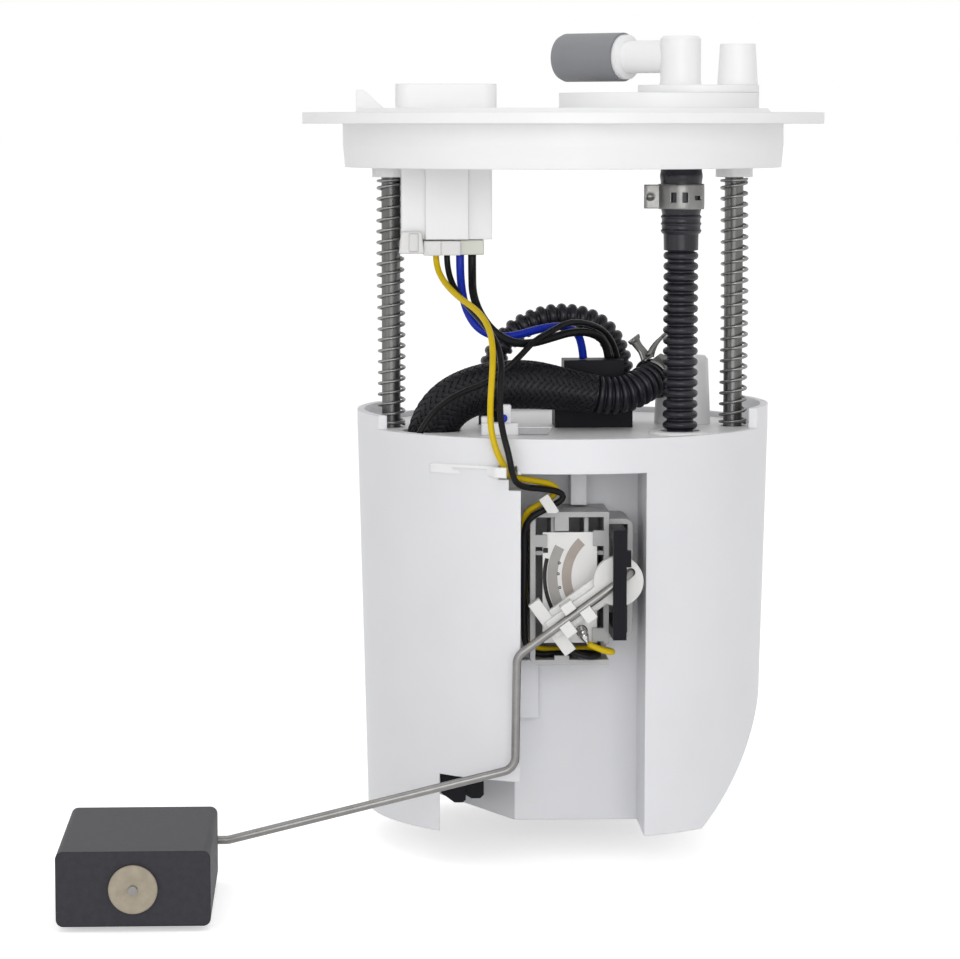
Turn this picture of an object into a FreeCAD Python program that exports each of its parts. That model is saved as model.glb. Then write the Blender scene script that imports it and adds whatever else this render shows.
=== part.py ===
import FreeCAD, Part
import math
import os
import Sketcher

# Fuel pump module: a tank flange, two guide rods with springs, and a sliding
# reservoir that holds the pump, the filter and the swinging level sender.
# Millimetres, +Z up, -Y is the sender side. The origin is the middle of the
# flange underside, where the module seats on the tank.

os.makedirs("parts", exist_ok=True)
doc = FreeCAD.newDocument("fuel_pump_module")

DRIVING_SIZES = {
    # Flange and what is moulded on it.
    "flange_diameter": 152.6,
    "flange_thickness": 3.2,
    "crown_diameter": 122,
    "crown_height": 1.2,
    "skirt_diameter": 129,
    "skirt_depth": 12.6,
    "skirt_wall": 2.6,
    "skirt_taper": 0.6,
    "web_wall": 1.8,
    "web_count": 12,
    # Electrical socket through the flange.
    "socket_x": -34.6,
    "socket_y": -6,
    "socket_width": 29,
    "socket_depth": 23,
    "socket_rise": 11.4,
    "socket_wall": 1.8,
    "corner_wall": 1.2,
    "socket_corner": 4,
    "lower_socket_width": 26.2,
    "lower_socket_depth": 20,
    "lower_socket_drop": 33.3,
    "lower_socket_bulge": 12.4,
    "pin_count": 5,
    "pin_pitch": 4.2,
    "pin_width": 2.8,
    "pin_thickness": 0.8,
    "pin_rise": 9,
    "plug_drop": 37.7,
    # Pedestal, elbow and post on top of the flange.
    "pedestal_x": 28.2,
    "pedestal_diameter": 58.6,
    "pedestal_top": 8.9,
    "outlet_x": 39.8,
    "outlet_diameter": 35.5,
    "outlet_top": 11.2,
    "column_x": 34.5,
    "column_diameter": 11.9,
    "column_top": 25.5,
    "nozzle_height": 19.6,
    "nozzle_diameter": 9.6,
    "tube_end_diameter": 7.9,
    "nozzle_bore": 5.4,
    "nozzle_swing": 40,
    "collar_distance": 20.4,
    "collar_diameter": 13.2,
    "cap_diameter": 14.4,
    "cap_length": 22.6,
    "cap_wall": 2.1,
    "cap_stem_length": 9,
    "cap_room": 1,
    "post_x": 51.3,
    "post_diameter": 12.2,
    "post_tip_diameter": 10.4,
    "post_top": 23.2,
    "fin_left": -60.6,
    "fin_right": -52.4,
    "fin_top": 9.8,
    "fin_wall": 2.2,
    # Guide rods and springs.
    "rod_spacing": 101,
    "rod_diameter": 5.5,
    "rod_socket_diameter": 10.9,
    "rod_socket_drop": 15.6,
    "rod_root": 2.5,
    "rod_end_drop": 116,
    "rod_groove": 0.5,
    "spring_diameter": 8.3,
    "spring_wire": 0.9,
    "spring_turns": 22,
    # Supply hose.
    "hose_x": 32.4,
    "hose_y": -25,
    "hose_cuff_diameter": 11.8,
    "hose_neck_diameter": 7.2,
    "hose_crest_diameter": 10.1,
    "hose_bore": 5.4,
    "cuff_drop": 26,
    "smooth_drop": 36.5,
    "fold_pitch": 3.05,
    "hose_end_drop": 96,
    "clamp_top_drop": 17.2,
    "clamp_width": 7.2,
    "clamp_band": 0.7,
    "clamp_ear": 4.6,
    # Reservoir.
    "rim_drop": 87.5,
    "bottom_drop": 201.2,
    "rim_diameter": 121,
    "base_diameter": 115.2,
    "reservoir_wall": 2.2,
    "recess_left": -15.5,
    "recess_right": 20,
    "recess_back": -29,
    "recess_top_drop": 97.3,
    "slot_left": -21.6,
    "slot_middle": -18.8,
    "slot_floor_drop": 1.5,
    "slot_lift": 2.1,
    "slot_depth": 10,
    "guard_wall": 1.4,
    "panel_step": 2.5,
    "panel_shift": 3.75,
    "notch_left": -37.7,
    "notch_top_drop": 184.5,
    "flank_centre_x": -18,
    "flank_centre_drop": 145,
    "flank_radius": 79,
    "left_tab_rise": 4,
    "right_tab_rise": 5.8,
    "tab_half_width": 26,
    "cover_drop": 91,
    "cover_thickness": 2,
    "cover_gap": 0.3,
    "guide_diameter": 11,
    "guide_length": 21,
    "bush_wall": 1.1,
    "travel": 25,
    # Pump and what belongs to it.
    "pump_x": 6,
    "pump_y": 14,
    "pump_diameter": 38,
    "pump_top_drop": 100,
    "pump_length": 74,
    "pump_shell": 1.4,
    "pump_end_length": 9,
    "pump_outlet_offset": 13,
    "pump_outlet_diameter": 6,
    "pump_outlet_rise": 15,
    "shaft_diameter": 5,
    "rotor_diameter": 23,
    "magnet_wall": 4,
    "impeller_diameter": 31,
    "impeller_thickness": 3.6,
    "impeller_blades": 24,
    "strainer_length": 56,
    "strainer_width": 34,
    "strainer_thickness": 8,
    "filter_x": -31,
    "filter_y": 17,
    "filter_diameter": 29,
    "filter_length": 74,
    "filter_spigot_x": -21.4,
    "filter_spigot_y": 8,
    "connector_rise": 19.8,
    "connector_step": 9,
    "regulator_x": 36.6,
    "regulator_y": 10,
    "regulator_diameter": 16.8,
    "regulator_rise": 20.2,
    # Sender.
    "housing_left": -12.3,
    "housing_right": 10,
    "housing_top_drop": 108.9,
    "housing_bottom_drop": 152.5,
    "housing_front": -50.5,
    "housing_wall": 1.5,
    "housing_floor": 1.8,
    "bay_right": 16.8,
    "bay_top_drop": 111,
    "bay_bottom_drop": 144.8,
    "card_left": -8.7,
    "card_right": 6.7,
    "card_top_drop": 114.8,
    "card_bottom_drop": 146.3,
    "card_thickness": 1,
    "card_front": -49.2,
    "pivot_x": 11.9,
    "pivot_drop": 127.4,
    "hub_diameter": 14,
    "hub_thickness": 3,
    "hub_front": -57.6,
    "axle_diameter": 4,
    "arm_wire": 2.4,
    "arm_plane": -61.8,
    "arm_tilt": 36.1,
    "arm_reach": 35.3,
    "arm_drop": 180,
    "arm_elbow_x": -97.6,
    "arm_bend": 4.2,
    "carrier_reach": 24.5,
    "float_x": -120.7,
    "float_drop": 199.6,
    "float_width": 40.6,
    "float_height": 20,
    "float_length": 60,
    "float_back": -64,
    "float_edge": 2,
    "washer_diameter": 12.9,
    "washer_thickness": 0.9,
    # Clearances.
    "slip": 0.05,
    "running_gap": 0.3,
    "clear_gap": 0.6,
    # Wires.
    "thin_wire": 1.8,
    "thick_wire": 2.4,
    "sleeve_diameter": 13.4,
    "sleeve_x": -39.6,
    "sleeve_y": -12,
    "loop_diameter": 7.6,
    "riser_diameter": 11,
    "transfer_diameter": 6,
}


class Size:
    """A length with its value and the sheet formula that gives it."""

    def __init__(self, value, text):
        self.value = float(value)
        self.text = text

    def joined(self, sign, other, value):
        return Size(value, "(%s %s %s)" % (self.text, sign, as_size(other).text))

    def __add__(self, other):
        return self.joined("+", other, self.value + as_size(other).value)

    def __sub__(self, other):
        return self.joined("-", other, self.value - as_size(other).value)

    def __mul__(self, other):
        return self.joined("*", other, self.value * as_size(other).value)

    def __truediv__(self, other):
        return self.joined("/", other, self.value / as_size(other).value)

    def __radd__(self, other):
        return as_size(other) + self

    def __rsub__(self, other):
        return as_size(other) - self

    def __rmul__(self, other):
        return as_size(other) * self

    def __neg__(self):
        return as_size(-1) * self


def as_size(number):
    """A plain number as a Size, left alone if it is one already."""
    if isinstance(number, Size):
        return number
    return Size(number, "(%r)" % float(number))


class SizeTable:
    """The driving sizes, read back from the spreadsheet as attributes."""


sheet = doc.addObject("Spreadsheet::Sheet", "Sizes")
for row, (alias, number) in enumerate(DRIVING_SIZES.items(), start=1):
    sheet.set("A%d" % row, alias.replace("_", " "))
    sheet.set("B%d" % row, str(number))
    sheet.setAlias("B%d" % row, alias)
doc.recompute()

size = SizeTable()
for alias in DRIVING_SIZES:
    setattr(size, alias, Size(sheet.get(alias), "Sizes." + alias))

# Places that several pieces share.
rod_x = size.rod_spacing / 2
skirt_inner_radius = size.skirt_diameter / 2 - size.skirt_wall
rim_z = -size.rim_drop
bottom_z = -size.bottom_drop
cover_top_z = -size.cover_drop + size.cover_thickness
rim_inner_radius = size.rim_diameter / 2 - size.reservoir_wall
pivot_z = -size.pivot_drop
sub_parts = []


def bind(thing, field, number):
    """Tie one property to the sheet formula of a Size."""
    thing.setExpression(field, as_size(number).text)


def vector(x, y, z):
    return FreeCAD.Vector(as_size(x).value, as_size(y).value, as_size(z).value)


def place(thing, x, y, z, rotation=None):
    """Put an object at a point of the module and tie the point to the sheet."""
    thing.Placement = FreeCAD.Placement(vector(x, y, z), rotation or FreeCAD.Rotation())
    for axis, number in zip("xyz", (x, y, z)):
        if isinstance(number, Size):
            bind(thing, "Placement.Base." + axis, number)


# Sketches.

def origin_plane(body, role):
    for feature in body.Origin.OriginFeatures:
        if feature.Role == role:
            return feature
    raise ValueError("no plane " + role)


def new_sketch(body, name, role, offset=0):
    """A sketch on one of the body's own origin planes, moved along its normal."""
    sketch = body.newObject("Sketcher::SketchObject", name)
    sketch.AttachmentSupport = [(origin_plane(body, role), "")]
    sketch.MapMode = "FlatFace"
    sketch.AttachmentOffset = FreeCAD.Placement(
        FreeCAD.Vector(0, 0, as_size(offset).value), FreeCAD.Rotation()
    )
    if isinstance(offset, Size):
        bind(sketch, "AttachmentOffset.Base.z", offset)
    return sketch


def hold_point(sketch, geometry, vertex, x, y):
    """Hold one sketch point at x, y measured from the sketch origin."""
    for kind, number in (("DistanceX", x), ("DistanceY", y)):
        number = as_size(number)
        index = sketch.addConstraint(
            Sketcher.Constraint(kind, -1, 1, geometry, vertex, number.value)
        )
        if "Sizes." in number.text:
            sketch.setExpression("Constraints[%d]" % index, number.text)


def draw_circle(sketch, x, y, radius):
    centre = vector(x, y, 0)
    circle = Part.Circle(centre, FreeCAD.Vector(0, 0, 1), as_size(radius).value)
    geometry = sketch.addGeometry(circle, False)
    index = sketch.addConstraint(
        Sketcher.Constraint("Radius", geometry, as_size(radius).value)
    )
    if isinstance(radius, Size):
        sketch.setExpression("Constraints[%d]" % index, radius.text)
    hold_point(sketch, geometry, 3, x, y)


def draw_outline(sketch, corners):
    """A closed outline of straight lines through the corners."""
    count = len(corners)
    points = [vector(x, y, 0) for x, y in corners]
    lines = []
    for number in range(count):
        segment = Part.LineSegment(points[number], points[(number + 1) % count])
        lines.append(sketch.addGeometry(segment, False))
    for number in range(count):
        sketch.addConstraint(
            Sketcher.Constraint("Coincident", lines[number], 2, lines[(number + 1) % count], 1)
        )
    for number, (x, y) in enumerate(corners):
        hold_point(sketch, lines[number], 1, x, y)


def draw_box(sketch, left, right, low, high):
    draw_outline(sketch, [(left, low), (right, low), (right, high), (left, high)])


# Features.

def new_body(name):
    return doc.addObject("PartDesign::Body", name)


def pad(body, sketch, length, back=False, middle=False):
    """Add material from a sketch, along its normal unless back is set."""
    feature = body.newObject("PartDesign::Pad", sketch.Name + "_pad")
    feature.Profile = sketch
    feature.Length = as_size(length).value
    bind(feature, "Length", length)
    feature.Reversed = back
    feature.Midplane = middle
    sketch.Visibility = False
    return feature


def pocket(body, sketch, length, back=False, middle=False):
    """Cut a sketch out against its normal, or along it if back is set."""
    feature = body.newObject("PartDesign::Pocket", sketch.Name + "_pocket")
    feature.Profile = sketch
    feature.Length = as_size(length).value
    bind(feature, "Length", length)
    feature.Reversed = back
    feature.Midplane = middle
    sketch.Visibility = False
    return feature


def turned(body, sketch, cut=False):
    """Turn a sketch once round its own vertical axis."""
    kind = "PartDesign::Groove" if cut else "PartDesign::Revolution"
    feature = body.newObject(kind, sketch.Name + "_turned")
    feature.Profile = sketch
    feature.ReferenceAxis = (sketch, ["V_Axis"])
    feature.Angle = 360
    sketch.Visibility = False
    return feature


def polar(body, feature, sketch, count):
    """Repeat a feature round the normal of its sketch."""
    pattern = body.newObject("PartDesign::PolarPattern", feature.Name + "_ring")
    pattern.Originals = [feature]
    pattern.Axis = (sketch, ["N_Axis"])
    pattern.Angle = 360
    pattern.Occurrences = int(as_size(count).value)
    body.Tip = pattern
    return pattern


def round_edges(body, radius, chosen):
    """Fillet the edges of the body's tip that the test picks."""
    doc.recompute()
    base = body.Tip
    names = [
        "Edge%d" % (number + 1)
        for number, edge in enumerate(base.Shape.Edges)
        if chosen(edge)
    ]
    fillet = body.newObject("PartDesign::Fillet", base.Name + "_round")
    fillet.Base = (base, names)
    fillet.Radius = as_size(radius).value
    bind(fillet, "Radius", radius)
    return fillet


def sub_part(thing, label):
    """Name a finished piece and put it on the list of sub-parts."""
    thing.Label = label
    sub_parts.append(thing)
    return thing


def lathe(name, corners, rotation=None, x=0, y=0, z=0):
    """A turned body from (radius, height) corners, then put in its place."""
    body = new_body(name)
    sketch = new_sketch(body, name + "_profile", "XZ_Plane")
    draw_outline(sketch, corners)
    turned(body, sketch)
    place(body, x, y, z, rotation)
    return body


def box(name, left, right, front, back, low, high):
    """A block between two corners, all six faces tied to the sheet."""
    block = doc.addObject("Part::Box", name)
    for field, number in (("Length", right - left), ("Width", back - front), ("Height", high - low)):
        setattr(block, field, as_size(number).value)
        bind(block, field, number)
    place(block, left, front, low)
    return block


def cylinder(name, x, y, z, radius, length, rotation=None):
    drum = doc.addObject("Part::Cylinder", name)
    drum.Radius = as_size(radius).value
    drum.Height = as_size(length).value
    bind(drum, "Radius", radius)
    bind(drum, "Height", length)
    place(drum, x, y, z, rotation)
    return drum


def fused(name, shapes):
    joined = doc.addObject("Part::MultiFuse", name)
    joined.Shapes = shapes
    return joined


def cut(name, base, tool):
    result = doc.addObject("Part::Cut", name)
    result.Base = base
    result.Tool = tool
    return result


def common(name, shapes):
    shared = doc.addObject("Part::MultiCommon", name)
    shared.Shapes = shapes
    return shared


FACING_FRONT = FreeCAD.Rotation(FreeCAD.Vector(1, 0, 0), 90)
FACING_BACK = FreeCAD.Rotation(FreeCAD.Vector(1, 0, 0), -90)


# Tubes along a route.

def route_wire(points, bend=None):
    """Straight runs joined by tangent arcs, with the smallest arc radius.

    A cord takes the widest arc that its runs allow, a bent wire one bend radius.
    """
    spots = [FreeCAD.Vector(*point) for point in points]
    edges = []
    radii = []
    start = spots[0]
    for before, corner, after in zip(spots, spots[1:], spots[2:]):
        incoming = corner - before
        outgoing = after - corner
        turn = incoming.getAngle(outgoing)
        shorter = min(incoming.Length, outgoing.Length)
        reach = 0.45 * shorter
        if bend is not None:
            reach = min(reach, bend * math.tan(turn / 2))
        radius = reach / math.tan(turn / 2)
        arc_start = corner - incoming.normalize() * reach
        arc_end = corner + outgoing.normalize() * reach
        bisector = (arc_start + arc_end) * 0.5 - corner
        to_centre = math.hypot(radius, reach)
        arc_middle = corner + bisector.normalize() * (to_centre - radius)
        edges.append(Part.LineSegment(start, arc_start).toShape())
        edges.append(Part.Arc(arc_start, arc_middle, arc_end).toShape())
        radii.append(radius)
        start = arc_end
    edges.append(Part.LineSegment(start, spots[-1]).toShape())
    return Part.Wire(edges), min(radii)


def tube(label, points, diameter, bore=None, bend=None):
    """A cord, wire or hose as one round tube along its route."""
    wire, tightest = route_wire(points, bend)
    direction = FreeCAD.Vector(*points[1]) - FreeCAD.Vector(*points[0])
    start = FreeCAD.Vector(*points[0])

    def swept(across):
        ring = Part.Wire([Part.Circle(start, direction, across / 2).toShape()])
        return wire.makePipeShell([ring], True, False)

    solid = swept(as_size(diameter).value)
    section = math.pi * as_size(diameter).value ** 2 / 4
    if abs(solid.Volume - section * wire.Length) > 0.02 * section * wire.Length:
        raise ValueError("the tube %s has the wrong volume" % label)
    if bore is not None:
        solid = solid.cut(swept(as_size(bore).value))
    feature = doc.addObject("Part::Feature", label)
    feature.Shape = solid
    feature.Placement = FreeCAD.Placement()
    print("%s: length %.1f mm, smallest bend radius %.1f mm" % (label, wire.Length, tightest))
    return sub_part(feature, label)


# The tank flange.

def draw_socket(sketch, width, depth, y_offset=0):
    """A rectangle round the socket centre."""
    middle = size.socket_y + y_offset
    draw_box(
        sketch,
        size.socket_x - width / 2,
        size.socket_x + width / 2,
        middle - depth / 2,
        middle + depth / 2,
    )


def is_upright(edge):
    """A straight edge that runs along Z."""
    return (
        isinstance(edge.Curve, Part.Line)
        and abs(abs(edge.Curve.Direction.z) - 1) < 1e-6
    )


def near_socket(edge, reach):
    centre = edge.CenterOfMass
    return (
        abs(centre.x - size.socket_x.value) < reach
        and abs(centre.y - size.socket_y.value) < reach
    )


def pin_places():
    """The X places of the blade pins, centred on the socket."""
    count = int(size.pin_count.value)
    first = size.socket_x - size.pin_pitch * (count - 1) / 2
    return [first + size.pin_pitch * number for number in range(count)]


def make_flange():
    body = new_body("flange_moulding")
    crown_radius = size.crown_diameter / 2
    skirt_radius = size.skirt_diameter / 2
    crown_top = size.flange_thickness + size.crown_height
    profile = new_sketch(body, "flange_profile", "XZ_Plane")
    draw_outline(profile, [
        (0, 0),
        (skirt_inner_radius, 0),
        (skirt_inner_radius - size.skirt_taper, -size.skirt_depth),
        (skirt_radius - size.skirt_taper, -size.skirt_depth),
        (skirt_radius, -size.skirt_depth / 2),
        (skirt_radius, 0),
        (size.flange_diameter / 2, 0),
        (size.flange_diameter / 2, size.flange_thickness),
        (crown_radius, size.flange_thickness),
        (crown_radius - size.crown_height, crown_top),
        (0, crown_top),
    ])
    turned(body, profile)

    web = new_sketch(body, "flange_web", "XY_Plane")
    draw_box(
        web,
        size.pedestal_diameter / 2,
        skirt_inner_radius,
        -size.web_wall / 2,
        size.web_wall / 2,
    )
    web_pad = pad(body, web, size.skirt_depth / 4, back=True)
    polar(body, web_pad, web, size.web_count)

    pedestal = new_sketch(body, "flange_pedestal", "XY_Plane")
    draw_circle(pedestal, size.pedestal_x, 0, size.pedestal_diameter / 2)
    pad(body, pedestal, size.pedestal_top)

    rod_sockets = new_sketch(body, "flange_rod_sockets", "XY_Plane")
    spigot = new_sketch(body, "flange_spigot", "XY_Plane")
    for side in (-1, 1):
        draw_circle(rod_sockets, side * rod_x, 0, size.rod_socket_diameter / 2)
    pad(body, rod_sockets, size.rod_socket_drop, back=True)
    draw_circle(spigot, size.hose_x, size.hose_y, size.hose_bore / 2 + 1)
    pad(body, spigot, size.cuff_drop, back=True)

    lower = new_sketch(body, "flange_lower_socket", "XY_Plane")
    draw_socket(lower, size.lower_socket_width, size.lower_socket_depth)
    pad(body, lower, size.lower_socket_drop, back=True)
    bulge = new_sketch(body, "flange_socket_bulge", "XY_Plane")
    draw_socket(bulge, size.lower_socket_bulge, size.lower_socket_depth, -size.socket_wall)
    pad(body, bulge, size.lower_socket_drop, back=True)
    upper = new_sketch(body, "flange_upper_socket", "XY_Plane")
    draw_socket(upper, size.socket_width, size.socket_depth)
    pad(body, upper, size.socket_rise)
    round_edges(
        body,
        size.socket_corner,
        lambda edge: is_upright(edge) and near_socket(edge, 16) and edge.CenterOfMass.z > 0,
    )

    lower_hollow = new_sketch(body, "flange_lower_hollow", "XY_Plane", -size.lower_socket_drop)
    draw_socket(
        lower_hollow,
        size.lower_socket_width - 2 * size.socket_wall,
        size.lower_socket_depth - 2 * size.socket_wall,
    )
    pocket(body, lower_hollow, size.lower_socket_drop, back=True)
    upper_hollow = new_sketch(body, "flange_upper_hollow", "XY_Plane", size.socket_rise)
    draw_socket(
        upper_hollow,
        size.socket_width - 2 * size.socket_wall,
        size.socket_depth - 2 * size.socket_wall,
    )
    pocket(body, upper_hollow, size.socket_rise - size.flange_thickness)
    round_edges(
        body,
        size.socket_corner - size.socket_wall,
        lambda edge: is_upright(edge)
        and near_socket(edge, 14)
        and edge.CenterOfMass.z > size.flange_thickness.value
        and edge.Length > (size.socket_rise - size.flange_thickness).value - 0.1,
    )

    slots = new_sketch(body, "flange_pin_slots", "XY_Plane", size.socket_rise)
    for x in pin_places():
        draw_box(
            slots,
            x - size.pin_width / 2,
            x + size.pin_width / 2,
            size.socket_y - size.pin_thickness / 2,
            size.socket_y + size.pin_thickness / 2,
        )
    pocket(body, slots, size.socket_rise * 2)

    bores = new_sketch(body, "flange_rod_bores", "XY_Plane", -size.rod_socket_drop)
    for side in (-1, 1):
        draw_circle(bores, side * rod_x, 0, size.rod_diameter / 2)
    pocket(body, bores, size.rod_socket_drop - size.rod_root, back=True)

    fins = new_sketch(body, "flange_fins", "XZ_Plane")
    draw_outline(fins, [
        (size.fin_left, 0),
        (size.fin_right + size.flange_thickness, 0),
        (size.fin_right, crown_top),
        (size.fin_left + size.fin_wall, size.fin_top),
        (size.fin_left, size.fin_top),
    ])
    pad(body, fins, size.fin_wall, middle=True)

    # The fuel gallery from the hose spigot up to the outlet column.
    gallery_z = size.pedestal_top - size.hose_bore
    across = math.hypot(
        size.column_x.value - size.hose_x.value, size.hose_y.value
    )
    heading = math.degrees(
        math.atan2(size.column_x.value - size.hose_x.value, -size.hose_y.value)
    )
    level = FreeCAD.Rotation(FreeCAD.Vector(0, 0, 1), -heading).multiply(FACING_BACK)
    gallery_radius = size.hose_bore / 2 - 0.6
    gallery = fused("flange_gallery", [
        cylinder(
            "gallery_riser", size.hose_x, size.hose_y, -size.cuff_drop - 1,
            gallery_radius, size.cuff_drop + 1 + gallery_z,
        ),
        cylinder(
            "gallery_run", size.hose_x, size.hose_y, gallery_z, gallery_radius, across, level,
        ),
        cylinder(
            "gallery_mouth", size.column_x, 0, gallery_z, gallery_radius,
            size.pedestal_top - gallery_z + 1,
        ),
    ])
    # A round wall in the lower socket's corner, and a channel for the left spring.
    spring_room = size.spring_diameter / 2 + size.clear_gap
    corner_wall = common("socket_corner_wall", [
        cylinder(
            "spring_wall", -rod_x, 0, -size.lower_socket_drop,
            spring_room + size.corner_wall, size.lower_socket_drop,
        ),
        box(
            "socket_block",
            size.socket_x - size.lower_socket_width / 2,
            size.socket_x,
            size.socket_y - size.lower_socket_depth / 2,
            size.socket_y + size.lower_socket_depth / 2,
            -size.lower_socket_drop,
            0,
        ),
    ])
    channel = cylinder(
        "spring_channel", -rod_x, 0, -size.lower_socket_drop - 1,
        spring_room, size.lower_socket_drop + 1 - size.rod_socket_drop,
    )
    moulding = fused("flange_with_corner", [body, corner_wall])
    spaces = fused("flange_spaces", [gallery, channel])
    sub_part(cut("flange_cut", moulding, spaces), "flange")


def make_outlet():
    """Cover disc, column, nozzle and post, welded on the pedestal."""
    seat = size.pedestal_top
    swing = FreeCAD.Rotation(FreeCAD.Vector(0, 0, 1), 90 - size.nozzle_swing.value)
    along = swing.multiply(FACING_BACK)
    disc = cylinder(
        "outlet_disc", size.outlet_x, 0, seat, size.outlet_diameter / 2, size.outlet_top - seat
    )
    column = new_body("outlet_column")
    column_profile = new_sketch(column, "column_profile", "XZ_Plane")
    radius = size.column_diameter / 2
    draw_outline(column_profile, [
        (0, seat),
        (radius + 0.8, seat),
        (radius, size.outlet_top + 1.2),
        (radius, size.column_top - 0.8),
        (radius - 0.8, size.column_top),
        (0, size.column_top),
    ])
    turned(column, column_profile)
    place(column, size.column_x, 0, 0)
    tube_radius = size.tube_end_diameter / 2
    tip = size.collar_distance + size.cap_length - size.cap_wall - size.running_gap
    nozzle = lathe("outlet_nozzle", [
        (0, 0),
        (size.nozzle_diameter / 2, 0),
        (size.nozzle_diameter / 2, size.collar_distance - 2),
        (size.collar_diameter / 2, size.collar_distance - 1.6),
        (size.collar_diameter / 2, size.collar_distance),
        (tube_radius, size.collar_distance),
        (tube_radius, tip - 1),
        (tube_radius - 0.6, tip),
        (0, tip),
    ], along, size.column_x, 0, size.nozzle_height)
    post = doc.addObject("Part::Cone", "outlet_post")
    post.Radius1 = size.post_diameter.value / 2
    post.Radius2 = size.post_tip_diameter.value / 2
    post.Height = (size.post_top - seat).value
    bind(post, "Radius1", size.post_diameter / 2)
    bind(post, "Radius2", size.post_tip_diameter / 2)
    bind(post, "Height", size.post_top - seat)
    place(post, size.post_x, 0, seat)
    solid = fused("outlet_solid", [disc, column, nozzle, post])
    bore_radius = size.nozzle_bore / 2
    bores = fused("outlet_bores", [
        cylinder("outlet_riser", size.column_x, 0, seat - 1, bore_radius - 1, size.nozzle_height - seat + 1),
        cylinder(
            "outlet_passage", size.column_x, 0, size.nozzle_height, bore_radius,
            tip + 1, along,
        ),
    ])
    sub_part(cut("outlet_cut", solid, bores), "outlet_fitting")

    # The cap's stem sits in the tube's bore, and its skirt stands round the tube.
    outer = size.cap_diameter / 2
    inner = tube_radius + size.cap_room
    stem = bore_radius - size.slip
    end_wall = size.cap_length - size.cap_wall
    cap = lathe("outlet_cap_body", [
        (0, size.cap_length),
        (outer - 2, size.cap_length),
        (outer - 0.6, size.cap_length - 0.6),
        (outer, size.cap_length - 2),
        (outer, 0),
        (inner, 0),
        (inner, end_wall),
        (stem, end_wall),
        (stem, end_wall - size.cap_stem_length + 0.8),
        (stem - 0.8, end_wall - size.cap_stem_length),
        (0, end_wall - size.cap_stem_length),
    ], along)
    reach = size.collar_distance + size.slip
    turn = math.radians(size.nozzle_swing.value)
    place(
        cap,
        size.column_x - reach * math.cos(turn),
        reach * math.sin(turn),
        size.nozzle_height,
        along,
    )
    sub_part(cap, "outlet_cap")


def make_terminals():
    blades = []
    low = -size.lower_socket_drop + size.socket_corner
    for number, x in enumerate(pin_places()):
        blades.append(box(
            "blade_%d" % number,
            x - size.pin_width / 2,
            x + size.pin_width / 2,
            size.socket_y - size.pin_thickness / 2,
            size.socket_y + size.pin_thickness / 2,
            low,
            size.pin_rise,
        ))
    pins = doc.addObject("Part::Compound", "blades")
    pins.Links = blades
    sub_part(pins, "terminal_pins")


def make_plug():
    """The harness plug in the lower socket, with its three wire outlets."""
    half_width = size.lower_socket_width / 2 - size.socket_wall - size.clear_gap
    half_depth = size.lower_socket_depth / 2 - size.socket_wall - size.clear_gap
    pin_low = -size.lower_socket_drop + size.socket_corner
    lip = -size.lower_socket_drop
    base = box(
        "plug_base",
        size.socket_x - half_width,
        size.socket_x + half_width,
        size.socket_y - half_depth,
        size.socket_y + half_depth,
        lip - 1.2,
        pin_low + size.pin_rise / 2,
    )
    blocks = [base]
    steps = ((-1, -0.36, 3.6), (-0.33, 0.56, 0.4), (0.6, 0.93, 0.8))
    for number, (left, right, short) in enumerate(steps):
        blocks.append(box(
            "plug_outlet_%d" % number,
            size.socket_x + half_width * left,
            size.socket_x + half_width * right,
            size.socket_y - half_depth,
            size.socket_y + half_depth / 2,
            -size.plug_drop + short * 0.4,
            lip,
        ))
    solid = fused("plug_solid", blocks)
    slots = []
    for number, x in enumerate(pin_places()):
        slots.append(box(
            "plug_slot_%d" % number,
            x - size.pin_width / 2 - size.running_gap,
            x + size.pin_width / 2 + size.running_gap,
            size.socket_y - size.pin_thickness / 2 - size.running_gap,
            size.socket_y + size.pin_thickness / 2 + size.running_gap,
            pin_low,
            pin_low + size.pin_rise,
        ))
    slots.append(cylinder(
        "plug_corner", -rod_x, 0, -size.plug_drop - 1,
        size.spring_diameter / 2 + size.clear_gap + size.corner_wall + size.running_gap,
        size.plug_drop + 1,
    ))
    sub_part(cut("plug_cut", solid, fused("plug_slots", slots)), "harness_plug")


# Guide rods, springs, clips.

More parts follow.
